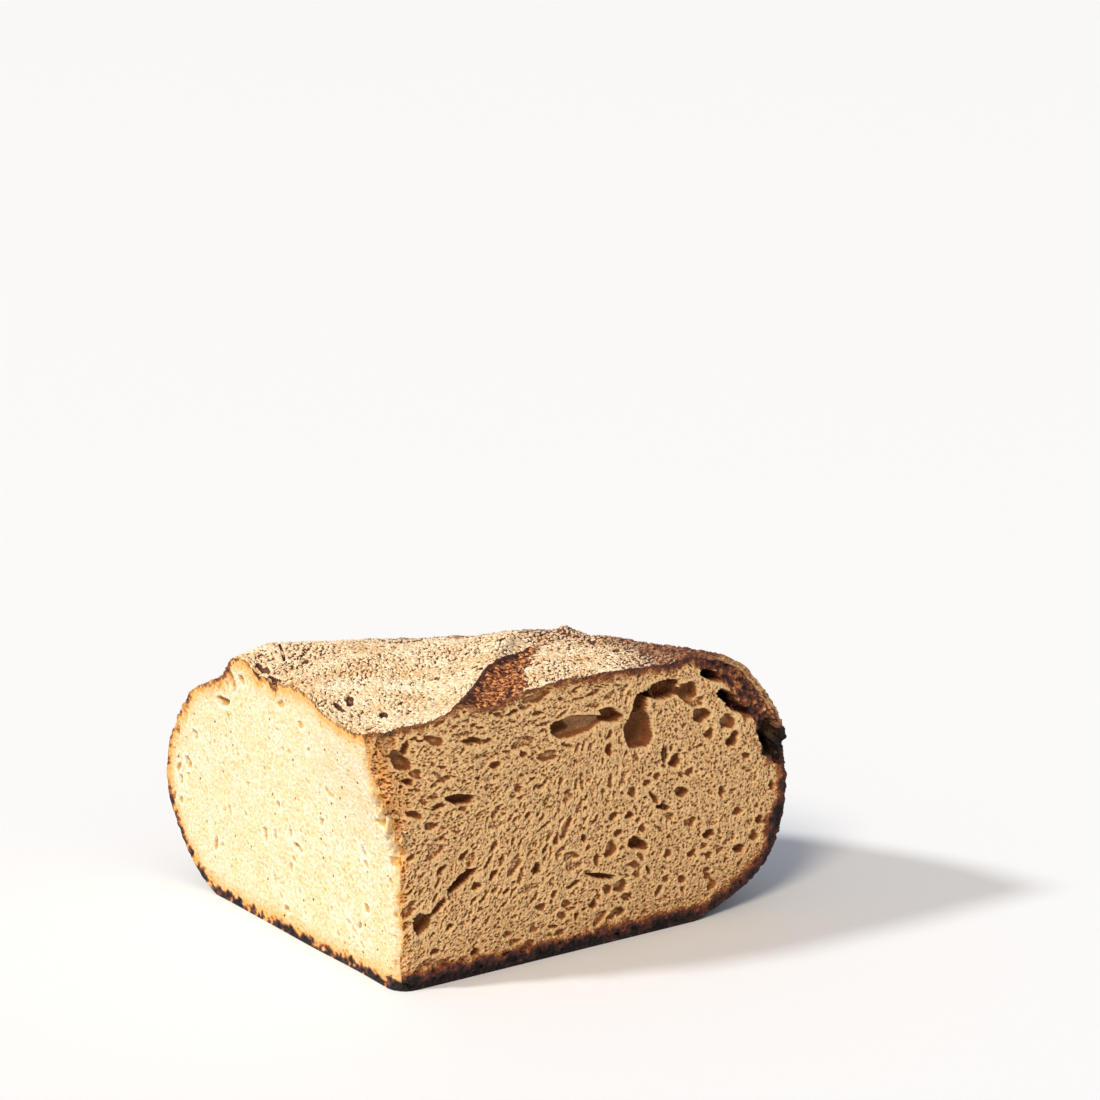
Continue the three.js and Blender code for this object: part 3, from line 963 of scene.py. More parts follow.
@dataclass
class CutFace:
    """One knife face of the quarter, with its crumb and the crust in section."""

    form: LoafForm
    shift: Array
    material: bpy.types.Material
    side: Side
    holes: tuple[Hole, ...]
    flow: tuple[Flow, ...]
    rinds: tuple[Rind, ...]
    tiles: tuple[tuple[str, float, float], ...]
    columns: int
    rows: int
    pores: tuple[tuple[float, float, int, float], ...]
    foams: tuple[tuple[float, float], ...]
    fuzz: float
    mottle: float
    seed: int
    wall: float = 0.9
    slab: float = 15.0
    wall_inset: float = 1.2
    slab_inset: float = 2.6
    reach: float = 138.0
    middle: tuple[float, float] = (100.0, 45.0)
    # Along, height and reach of the far gap in the torn band, painted near black as shade
    far_gap_shade_spot: tuple[float, float, float] = (131.5, 50.5, 5.5)
    shallow: float = 1.8
    outline_points: int = 300

    def plane_axes(self) -> tuple[int, int]:
        """Which coordinate runs along the face, and which runs into the loaf."""
        return (0, 1) if self.side is Side.RIGHT else (1, 0)

    def outline(self) -> Array:
        """Points round the face's outline, as along and up, without the near edge.

        Returns:
            One row for each point.
        """
        t = np.linspace(0, 1, self.outline_points)
        turn = np.full(t.shape, self.side.value)
        parts = [self.form.points(t, turn, 0 * t), self.form.points(1 + 0 * t, turn, t),
                 self.form.points(t[::-1], turn, 1 + 0 * t)]
        return np.concatenate(parts)[:, [self.plane_axes()[0], 2]]

    def nearest(self, along: Array, up: Array) -> tuple[Array, Array]:
        """Finds the nearest point of the crust's outside.

        Args:
            along, up: places in millimetres.

        Returns:
            Its distance and its place, for every place.
        """
        line = self.outline()
        best = np.full(along.shape, 99.0)
        which = np.zeros(along.shape, int)
        for start in range(0, len(along), 4000):
            chunk = slice(start, start + 4000)
            far = np.hypot(along[chunk, None] - line[None, :, 0], up[chunk, None] - line[None, :, 1])
            which[chunk] = far.argmin(1)
            best[chunk] = far.min(1)
        return best, line[which]

    def rind_at(self, along: Array, up: Array) -> Section:
        """The crust in section near every place.

        Args:
            along, up: places in millimetres.

        Returns:
            What the crust is like there.
        """
        rim, near = self.nearest(along, up)
        direction = np.degrees(np.arctan2(near[:, 1] - self.middle[1], near[:, 0] - self.middle[0]))
        at = [rind.direction for rind in self.rinds]
        thick, dark, torn = (np.interp(direction, at, [getattr(rind, part) for rind in self.rinds])
                             for part in ("thickness", "darkness", "torn"))
        return Section(rim, thick, dark, torn)

    def draw_pores(self) -> Relief:
        """Draws the named holes, then the smaller pores, then the finest ones.

        Returns:
            The relief over along and up.
        """
        rng = np.random.default_rng(self.seed)
        relief = Relief(width=155.0, height=87.0, start=(-12.0, 0.0))
        for hole in self.holes:
            relief.stamp(hole, rng)
        for least, most, count, deep in self.pores:
            relief.scatter(self.flow, (least, most), count, deep, rng)
        along, up = relief.grid()
        smooth = 1 - 0.8 * ease((relief.depth - 0.9) / 1.1)
        for number, (size, deep) in enumerate(self.foams):
            wall, mark = foam(self.flow, along, up, size, 100 * self.seed + 10 * number)
            relief.depth += smooth * deep * (0.2 + 0.8 * mark ** 1.4) * ease(wall / 0.45)
        relief.depth += 0.12 * self.fuzz * (1 - 2 * np.abs(lumps(along, up, 5, 0.6)))
        return relief

    def build(self) -> None:
        """Makes the face as closed slabs side by side, whose fronts carry the crumb, and dresses them."""
        relief = self.draw_pores()
        # How much deeper each place is than its neighbours: the material paints shade into the hollows and
        # highlights on the walls from it
        shallow = np.minimum(relief.depth, self.shallow)
        cavity_shading = shallow - blurred(shallow, 5)
        for tile in self.tiles:
            finish_piece(self.build_tile(relief, cavity_shading, tile), self.material)

    def bake(self, along: Array, up: Array, depth: Array, crust: Section) -> tuple[Array, Array, Array]:
        """Bakes the crumb to crust near the outside, tears the crust in its torn band and paints shade into
        the band's hollows and gaps.

        Args:
            along, up: places in millimetres.
            depth: how deep the crumb's holes are there.
            crust: the crust in section there.

        Returns:
            How dark each place is baked, with painted shade in the torn band's hollows and gaps, how deep
            it is sunk and how dusty it is.
        """
        rim, torn = crust.rim, crust.torn
        ragged = (0.9 + 0.5 * torn) * lumps(along, up, 3, 2.4) + 0.6 * lumps(along, up, 9, 1.1)
        inward = (rim + ragged * ease(rim / 0.8)) / crust.thick
        bake = mix(1 - ease((inward - 0.1) / 0.9), 1 - ease((inward - 0.82) / 0.24), torn)
        outside = torn * (1 - ease((rim - 0.2) / 0.7)) * ease((up - 54) / 6)
        patches = 1 + self.mottle * (lumps(along, up, 13, 2.6) + lumps(along, up, 14, 1.1))
        bake = bake * crust.dark * (1 - 0.5 * outside) * patches

        # Shreds and crags of the torn band. Its colour is darker where the crags sink deepest and near
        # black in its deep gaps and at the far gap: painted shade over the band's own mottled brown
        shag = 1 - 2 * np.abs(lumps(along, up, 21, 2.8))
        shred = 0.6 * lumps(along, up, 22, 1.2) + 0.4 * lumps(along, up, 23, 0.7)
        inside = torn * (1 - ease((inward - 0.8) / 0.3)) * ease((rim - 0.6) / 1.2)
        crag = inside * (1.0 + 0.9 * shag + 0.9 * shred)
        far, level, tall = self.far_gap_shade_spot
        far_gap_shade = ease((along - far) / 1.5) * bell((up - level) / tall)
        gap = ease(4 * torn) * np.maximum(ease((depth - 4.2) / 2.0), 1.3 * far_gap_shade)
        bake = np.clip(np.maximum(bake + 0.3 * inside * (0.6 * shag + 1.7 * shred), gap), 0, 1)

        # Pores close up in the baked crust, which is scabby instead
        scab = 0.5 * (1 - torn) * bake * (1 - 2 * np.abs(lumps(along, up, 25, 1.5)))
        closed = 1 - 0.6 * ease((bake - 0.15) / 0.4)
        fray = 0.22 * lumps(along, up, 15, 3.6)
        sunk = depth * np.where(depth < 1.6, closed, 1) + 0.1 + fray + crag + scab
        return bake, sunk, outside * (0.45 + 0.4 * shred)

    def edge_glow_and_darker_base(self, along: Array, up: Array, away: Array, rim: Array) -> tuple[Array, Array]:
        """Works out the painted glow along the near edge, the golden crumb near the crust, and where the
        right face grows darker towards its base.

        Args:
            along, up: places in millimetres.
            away: distance from the near edge.
            rim: distance from the crust's outside.

        Returns:
            The two shares from 0 to 1.
        """
        uneven = 0.8 + 0.6 * lumps(along, up, 17, 2.2)
        # Painted glow: a warm band along the near edge of both faces
        edge_glow_and_gold = 0.9 * bell(away / 2.6) * uneven
        if self.side is Side.RIGHT:
            # Painted glow: a warm patch high on the right face, beside the near edge
            edge_glow_and_gold = np.maximum(edge_glow_and_gold, 0.75 * uneven * bell(away / 10) * ease((up - 44) / 14))
            # The right face grows darker towards its base, near the crust
            darker_base = 0.19 * bell(rim / 11) * (1 - ease((up - 16) / 12))
        else:
            # Real golden crumb along the left face's crust
            edge_glow_and_gold = np.maximum(edge_glow_and_gold, bell(rim / (3.6 + 2 * (1 - ease(up / 20)))) * (0.9 + 0.3 * uneven))
            darker_base = 0 * rim
        return np.clip(edge_glow_and_gold, 0, 1), darker_base

    def tuck(self, spot: Array, layer: Array, along: Array, up: Array) -> None:
        """Moves the slab's hidden wall and back into the loaf, and in from the outline.

        Args:
            spot: places of the vertices, which it changes.
            layer: 0 for the front, 1 for the wall's edge and 2 for the back.
            along, up: where they lay at the front.
        """
        run, into = self.plane_axes()
        hidden = [layer == 1, layer == 2]
        behind = np.select(hidden, [self.wall, self.slab], 0.0)
        inset = np.select(hidden, [self.wall_inset, self.slab_inset], 0.0)
        mitre = np.where(layer == 0, 0, behind + 0.4)
        spot[:, run] += mix(mitre, -inset, np.clip(along / self.reach, 0, 1))
        spot[:, 2] += inset * (1 - up / 38)
        spot[:, into] += behind

    def build_tile(self, relief: Relief, cavity_shading: Array, tile: tuple[str, float, float]) -> bpy.types.Object:
        """Makes one slab of the face.

        Args:
            relief: the drawn pores.
            cavity_shading: how much deeper each place of the raster is than its neighbours, for painted
                shade in the hollows and painted highlights on the walls.
            tile: the slab's name and the shares of the face where it starts and ends.

        Returns:
            The finished object.
        """
        run, into = self.plane_axes()
        name, first, last = tile

        def place(share: Array, layer: Array) -> tuple[Array, dict[str, Array]]:
            """Puts the slab's vertices in place and sinks the crumb's holes."""
            out = mix(first, last, share[:, 0])
            spot = self.form.points(out, np.full(len(share), self.side.value), share[:, 1])
            away, along, up = out * RADIUS, spot[:, run].copy(), spot[:, 2].copy()
            depth, shift, hollow_shade = (relief.sample(grid, along, up)
                                    for grid in (relief.depth, relief.shift, cavity_shading))
            crust = self.rind_at(along, up)
            bake, sunk, dust = self.bake(along, up, depth, crust)
            edge_glow_and_gold, darker_base = self.edge_glow_and_darker_base(along, up, away, crust.rim)

            # The holes stop short of the outline, so that neighbouring pieces meet
            free = ease(np.minimum(crust.rim / 0.7, away / 2.4))
            front = layer == 0
            spot[:, run] += np.where(front, free * shift[:, 0], 0)
            spot[:, 2] += np.where(front, free * shift[:, 1], 0)
            spot[:, into] += np.where(front, free * np.minimum(sunk, 0.25 + 0.6 * away), 0)
            self.tuck(spot, layer, along, up)
            # Painted shade for the holes, from their depth and from how much deeper each place is than its
            # neighbours, goes to the material with the other notes
            notes = {"bake": np.maximum(bake, darker_base), "edge_glow_and_gold": edge_glow_and_gold, "pore_shade": ease((depth - 1.2) / 4.4),
                     "cavity_shading": np.clip(0.5 + hollow_shade / 0.62, 0, 1), "dust": dust}
            return np.maximum(spot, [-99, -99, 0]) + self.shift, notes

        return Sheet(name, self.columns, self.rows).build(place)


# Outer crust


def crust_grit(spots: Sequence[Flow], along: Array, up: Array, coarse: float, cracked: float) -> Array:
    """Clumps of flour at different heights with cracks between them, as depth in millimetres.

    Args:
        spots: the crust's flow, which stretches the clumps.
        along, up: places in millimetres.
        coarse: width of the larger clumps in millimetres.
        cracked: share of the crust with open cracks, about.

    Returns:
        The depth at each place.
    """
    depth = 0.34 + 0.3 * lumps(along, up, 61, 7.0) + 0.2 * lumps(along, up, 62, 0.75)
    for size, crack, step in ((coarse, 0.7, 0.5), (coarse / 2, 0.6, 0.36)):
        wall, mark = foam(spots, along, up, size, 300 + int(10 * size))
        open_share = ease(cracked + 1.3 * lumps(along, up, 63 + int(size), 4 * size))
        depth = depth + open_share * crack * (1 - ease(wall / 0.4)) + step * (mark - 0.4)
    return depth


def draw_top_grit(form: LoafForm) -> Relief:
    """Draws the top crust's clumps, pits and chips, and the slash.

    Args:
        form: the quarter's form, which says where the slash is.

    Returns:
        The relief over x and y.
    """
    rng = np.random.default_rng(SEED)
    relief = Relief(width=155.0, height=155.0, start=(-12.0, -12.0), step=0.2)
    for chip in TOP_CHIPS:
        relief.stamp(chip, rng)
    chipped = ease(relief.depth / 0.9)
    for least, most, count, deep in ((1.2, 3.2, 160, 0.34), (0.5, 1.1, 1500, 0.6)):
        relief.scatter(CRUST_FLOW, (least, most), count, deep, rng)
    x, y = relief.grid()
    inside, lip = form.slash_cover(x, y)
    grains = 0.6 + 0.60 * lumps(x, y, 3, 1.8) + 0.45 * lumps(x, y, 5, 0.9) + 0.3 * lumps(x, y, 7, 3.4)
    floured = relief.depth + crust_grit(CRUST_FLOW, x, y, 2.0, 0.6)
    relief.depth = mix(floured, 0.3 * relief.depth + grains, inside)
    relief.depth -= 1.0 * lip * (0.45 + 0.55 * lumps(x, y, 2, 2.2))
    relief.note_low(4, 0.5, 1.7)
    # Dark crust shows along the slash's torn lip, and in the chips as painted shade
    relief.low += 2.5 * lip + chipped * (0.7 + 1.1 * lumps(x, y, 12, 0.9))
    return relief


def draw_side_grit() -> Relief:
    """Draws the side crust's crags and pits.

    Returns:
        The relief over the way round the loaf and the height.
    """
    rng = np.random.default_rng(SEED + 1)
    relief = Relief(width=215.0, height=90.0, step=0.25)
    for least, most, count, deep in ((1.4, 3.4, 300, 0.34), (0.7, 1.3, 3000, 0.6)):
        relief.scatter(CRUST_FLOW, (least, most), count, deep, rng)
    along, up = relief.grid()
    relief.depth += crust_grit(CRUST_FLOW, along, up, 2.8, 0.2)
    relief.note_low(4, 0.6, 1.7)
    return relief


class CrustPart(Enum):
    """The three shells of the outer crust."""

    TOP = "crust_top"
    SIDE = "crust_side"
    BASE = "crust_base"


@dataclass
class CrustShell:
    """One shell of the outer crust: its outside carries the relief, its inside is plain."""

    form: LoafForm
    shift: Array
    material: bpy.types.Material
    part: CrustPart
    tiles: tuple[str, ...]
    columns: int
    rows: int
    wall: float = 1.5
    heart: tuple[float, float, float] = (40.0, 40.0, 38.0)

    def coordinates(self, share: Array) -> tuple[Array, Array, Array]:
        """Finds where each place of the shell's square lies on the loaf.

        Args:
            share: places in the unit square.

        Returns:
            Share of the way out, degrees from the right cut and share of the way up.
        """
        if self.part is CrustPart.SIDE:
            return np.ones(len(share)), share[:, 0] * 90, share[:, 1]
        out, turn = turn_and_out(share)
        up = np.full(len(share), 1.0 if self.part is CrustPart.TOP else 0.0)
        return out, turn, up

    def flour(self, spot: Array, turn: Array) -> Array:
        """How thickly flour covers the crust.

        Args:
            spot: places in millimetres.
            turn: degrees from the right cut.

        Returns:
            A share from 0 to 1 for each place.
        """
        x, y, z = spot.T
        drift = lumps(x, y, z, 16.0) + 0.6 * lumps(x, y, z, 7.0)
        reach = np.hypot(x, y) + 15 * (1 - ease(turn / 22))
        thin = 0.13 * ease((reach - 45) / 30) + 0.52 * ease((reach - 82 + 10 * drift) / 38)
        top = 0.87 + 0.09 * drift - thin
        side = 0.36 + 0.14 * drift - 0.2 * (1 - ease(turn / 12))
        cover = mix(side, top, ease((z - 56) / 14)) * ease((z + 6 * drift) / 30)
        inside, lip = self.form.slash_cover(x, y)
        return np.clip(cover * (1 - 0.97 * inside * ease((z - 60) / 8)) - 1.2 * lip, 0, 1)

    def build(self) -> None:
        """Makes the shell in closed tiles of equal width, side by side, and dresses them."""
        ends = np.linspace(0, 1, len(self.tiles) + 1)
        for tile, first, last in zip(self.tiles, ends, ends[1:]):
            piece = self.build_tile(self.part.value + tile, first, last)
            finish_piece(piece, self.material)

    def build_tile(self, name: str, first: float, last: float) -> bpy.types.Object:
        """Makes one tile of the shell.

        Args:
            name: its name.
            first, last: the shares of the shell where it starts and ends.

        Returns:
            The finished object.
        """
        def place(share: Array, layer: Array) -> tuple[Array, dict[str, Array]]:
            """Puts the tile's vertices in place, the hidden ones a wall's width inside."""
            notes: dict[str, Array] = {}
            share = np.stack([mix(first, last, share[:, 0]), share[:, 1]], 1)
            out, turn, up = self.coordinates(share)
            spot = self.form.points(out, turn, up, notes)
            x, y, z = spot.T
            inside, _ = self.form.slash_cover(x, y)
            char = 1 - ease((z - 3 + 5 * lumps(x, y, z, 9.0)) / 24)
            burst = (1 - ease((turn - 3) / 4)) * bell((z - 50) / 7)
            notes.update(flour=self.flour(spot, turn) * (1 - burst), slash=inside * ease((z - 60) / 8),
                         char=np.maximum(char, burst))
            hidden = layer > 0
            pull = np.array(self.heart) - spot
            pull /= np.maximum(np.linalg.norm(pull, axis=1, keepdims=True), 1e-6)
            within = self.form.points(np.clip(out, 0.012, 1), np.clip(turn, 0.6, 89.4), up)
            spot[hidden] = (within + self.wall * pull)[hidden]
            return spot + self.shift, notes

        return Sheet(name, self.columns, self.rows).build(place)


# Finishes


Tree = bpy.types.NodeTree
Socket = bpy.types.NodeSocket
COLOURS = {"data_type": "RGBA", "clamp_factor": True}
TINT = {"blend_type": "MULTIPLY", **COLOURS}
SMOOTH = {"interpolation_type": "SMOOTHSTEP"}
TIMES = {"operation": "MULTIPLY"}
TIMES_PLUS = {"operation": "MULTIPLY_ADD"}
PLUS = {"operation": "ADD"}
MINUS = {"operation": "SUBTRACT"}


def linear(code: str) -> tuple[float, float, float, float]:
    """Turns an sRGB hex colour into the linear one that a shader takes.

    Args:
        code: the colour, such as "#ffffff".

    Returns:
        Red, green, blue and a full alpha.
    """
    parts = [int(code[i:i + 2], 16) / 255 for i in (1, 3, 5)]
    curve = [p / 12.92 if p <= 0.04045 else ((p + 0.055) / 1.055) ** 2.4 for p in parts]
    return (*curve, 1.0)


def add(tree: Tree, kind: str, inputs: dict[int | str, object], give: int | str = 0,
        **settings: object) -> Socket | None:
    """Adds a shader node, sets its options, and fills or links its sockets.

    Args:
        tree: the material's node tree.
        kind: Blender's name of the node, without "ShaderNode".
        inputs: a value or another node's output for each input, by its name or number.
        give: which output is wanted, by its name or number.
        **settings: the node's own options.

    Returns:
        That output, or None for a node that has none.
    """
    node = tree.nodes.new("ShaderNode" + kind)
    for key, value in settings.items():
        setattr(node, key, value)
    for key, value in inputs.items():
        if isinstance(value, Socket):
            tree.links.new(value, node.inputs[key])
        else:
            node.inputs[key].default_value = value
    return node.outputs[give] if node.outputs else None


@dataclass(frozen=True)
class Finish:
    """What every finish starts from: a name, and a material without nodes."""

    name: str

    def start(self) -> tuple[bpy.types.Material, Tree]:
        """Makes the empty material.

        Returns:
            The material and its node tree.
        """
        material = bpy.data.materials.new(self.name)
        material.use_nodes = True
        material.node_tree.nodes.clear()
        return material, material.node_tree


@dataclass(frozen=True)
class CrumbFinish(Finish):
    """Baked wheat crumb, cut with a knife. Sizes of its patterns are in millimetres."""

    name: str = "wheat_crumb"
    # The default colours are the right face's copy, tanner and warmer than the left face's copy: painted
    # shade on the face turned from the key light
    pale: str = "#fcd79f"
    tan: str = "#ba7e44"
    # hollow and deep are painted shade in the crumb's holes, and pale is also the painted highlight on the
    # walls between them
    hollow_shade: str = "#823e0a"
    deep: str = "#703c1a"
    golden: str = "#bd8046"
    brown: str = "#7c4534"
    dark: str = "#452a26"
    charred: str = "#17110f"
    dust: str = "#cdaa80"
    bran: str = "#6a3814"
    # Tint of the painted glow along the near edge, and of the golden crumb near the crust
    edge_glow_and_gold_tint: str = "#f8d294"
    # How strongly the painted shade and highlights of the holes show
    contrast: float = 0.85
    glow: float = 0.10
    glow_reach: float = 1.8
    cloud: float = 7.0
    # Real threads of crumb are about 0.1 mm thick. They are drawn this coarse so that they show
    grain: float = 0.6
    # Flecks of bran, a tenth as wide as the gap between them
    bran_gap: float = 5.0
    bran_share: float = 0.0
    # The finest bubbles are half as wide as this, and are drawn coarser to show
    bubble: float = 0.7
    bump: float = 0.45

    def make(self) -> bpy.types.Material:
        """Builds the material.

        Returns:
            A material that gives a creamy crumb, browner towards the crust, with painted shade in its holes
            and painted highlights on the walls between them.
        """
        material, tree = self.start()
        where = add(tree, "TexCoord", {}, "Object")
        mottle, grain, threads = (
            add(tree, "TexNoise", {"Vector": where, "Scale": 1 / (size * MM), "Detail": detail,
                                   "Roughness": rough})
            for size, detail, rough in ((self.cloud, 3.0, 0.55), (self.grain, 2.0, 0.6),
                                        (1.5 * self.grain, 2.0, 0.6)))
        mottle = add(tree, "MapRange", {0: mottle, 1: 0.32, 2: 0.7}, **SMOOTH)
        grain = add(tree, "MapRange", {0: grain, 1: 0.38, 2: 0.62}, **SMOOTH)

        # Pale threads run where their noise is at its middle, and tan crumb lies between them
        threads = add(tree, "Math", {0: threads, 1: 0.5}, **MINUS)
        threads = add(tree, "Math", {0: threads}, operation="ABSOLUTE")
        threads = add(tree, "MapRange", {0: threads, 1: 0.0, 2: 0.07}, **SMOOTH)
        tone = add(tree, "Math", {0: mottle, 1: 0.28, 2: -0.1}, **TIMES_PLUS)
        tone = add(tree, "Math", {0: grain, 1: 0.26, 2: tone}, **TIMES_PLUS)
        tone = add(tree, "Math", {0: threads, 1: 0.38, 2: tone}, **TIMES_PLUS)
        colour = add(tree, "Mix", {0: tone, 6: linear(self.pale), 7: linear(self.tan)}, 2, **COLOURS)
        colour = self.paint_hole_shade(tree, colour)
        colour = self.add_bran(tree, where, colour)
        # How baked each place is, with painted shade in the torn band's hollows and gaps
        bake = add(tree, "Attribute", {}, "Fac", attribute_name="bake")
        uneven = add(tree, "Math", {0: grain, 1: 0.16, 2: -0.08}, **TIMES_PLUS)
        bake = add(tree, "Math", {0: bake, 1: uneven}, **PLUS)
        colour = self.bake_crumb(tree, bake, colour)

        bubbles = add(tree, "TexVoronoi", {"Vector": where, "Scale": 1 / (self.bubble * MM)},
                      feature="SMOOTH_F1")
        height = add(tree, "Math", {0: bubbles, 1: -0.8}, **TIMES)
        height = add(tree, "Math", {0: grain, 1: 0.6, 2: height}, **TIMES_PLUS)
        normal = add(tree, "Bump", {"Strength": 0.7, "Distance": self.bump * MM, "Height": height})

        # Crumb is matt, and lets a little light through, so thin walls glow. Baked crust shines a little
        rough = add(tree, "MapRange", {0: bake, 1: 0.3, 2: 0.7}, **SMOOTH)
        rough = add(tree, "Math", {0: rough, 1: -0.34, 2: 0.88}, **TIMES_PLUS)
        shader = add(tree, "BsdfPrincipled", {
            "Base Color": colour, "Roughness": rough, "Normal": normal, "Specular IOR Level": 0.3,
            "Subsurface Weight": self.glow, "Subsurface Radius": (1.0, 0.75, 0.45),
            "Subsurface Scale": self.glow_reach * MM})
        add(tree, "OutputMaterial", {"Surface": shader})
        return material

    def paint_hole_shade(self, tree: Tree, colour: Socket) -> Socket:
        """Paints shade into the hollows and deep pores, and paints highlights on the walls between them.

        Args:
            tree: the material's node tree.
            colour: the crumb's colour so far.

        Returns:
            The new colour.
        """
        cavity_shading = add(tree, "Attribute", {}, "Fac", attribute_name="cavity_shading")
        pore_shade = add(tree, "Attribute", {}, "Fac", attribute_name="pore_shade")
        # Painted shade in the hollows, then painted highlights on the walls between them
        for low, high, code in ((0.48, 0.92, self.hollow_shade), (0.5, 0.18, self.pale)):
            share = add(tree, "MapRange", {0: cavity_shading, 1: low, 2: high}, **SMOOTH)
            share = add(tree, "Math", {0: share, 1: self.contrast}, **TIMES)
            colour = add(tree, "Mix", {0: share, 6: colour, 7: linear(code)}, 2, **COLOURS)
        # Painted shade: the deepest pores turn darker brown
        share = add(tree, "Math", {0: pore_shade, 1: 0.9}, **TIMES)
        return add(tree, "Mix", {0: share, 6: colour, 7: linear(self.deep)}, 2, **COLOURS)

    def add_bran(self, tree: Tree, where: Socket, colour: Socket) -> Socket:
        """Adds flecks of bran, and a golden tint: painted glow along the near edge, and the golden crumb
        near the crust.

        Args:
            tree: the material's node tree.
            where: the place on the piece.
            colour: the crumb's colour so far.

        Returns:
            The new colour.
        """
        flecks = add(tree, "TexVoronoi", {"Vector": where, "Scale": 1 / (self.bran_gap * MM)})
        flecks = add(tree, "MapRange", {0: flecks, 1: 0.10, 2: 0.07}, **SMOOTH)
        flecks = add(tree, "Math", {0: flecks, 1: self.bran_share}, **TIMES)
        colour = add(tree, "Mix", {0: flecks, 6: colour, 7: linear(self.bran)}, 2, **COLOURS)
        # Painted glow by the near edge, and the real golden crumb by the crust
        edge_glow_and_gold = add(tree, "Attribute", {}, "Fac", attribute_name="edge_glow_and_gold")
        return add(tree, "Mix", {0: edge_glow_and_gold, 6: colour, 7: linear(self.edge_glow_and_gold_tint)}, 2, **TINT)

    def bake_crumb(self, tree: Tree, bake: Socket, colour: Socket) -> Socket:
        """Turns the crumb to crust, from golden to charred, and dusts its outside. The charred end also
        carries the painted shade in the torn band's gaps.

        Args:
            tree: the material's node tree.
            bake: how dark each place is baked, with painted shade in the torn band's hollows and gaps.
            colour: the crumb's colour so far.

        Returns:
            The new colour.
        """
        baked = add(tree, "ValToRGB", {"Fac": bake})
        band = baked.node.color_ramp.elements
        stops = ((0.24, self.golden), (0.46, self.brown), (0.68, self.dark), (0.92, self.charred))
        for position, _ in stops[2:]:
            band.new(position)
        for element, (position, code) in zip(band, stops):
            element.position = position
            element.color = linear(code)
        share = add(tree, "MapRange", {0: bake, 1: 0.05, 2: 0.34}, **SMOOTH)
        colour = add(tree, "Mix", {0: share, 6: colour, 7: baked}, 2, **COLOURS)
        dust = add(tree, "Attribute", {}, "Fac", attribute_name="dust")
        dust = add(tree, "Math", {0: dust, 1: 0.85}, **TIMES)
        return add(tree, "Mix", {0: dust, 6: colour, 7: linear(self.dust)}, 2, **COLOURS)


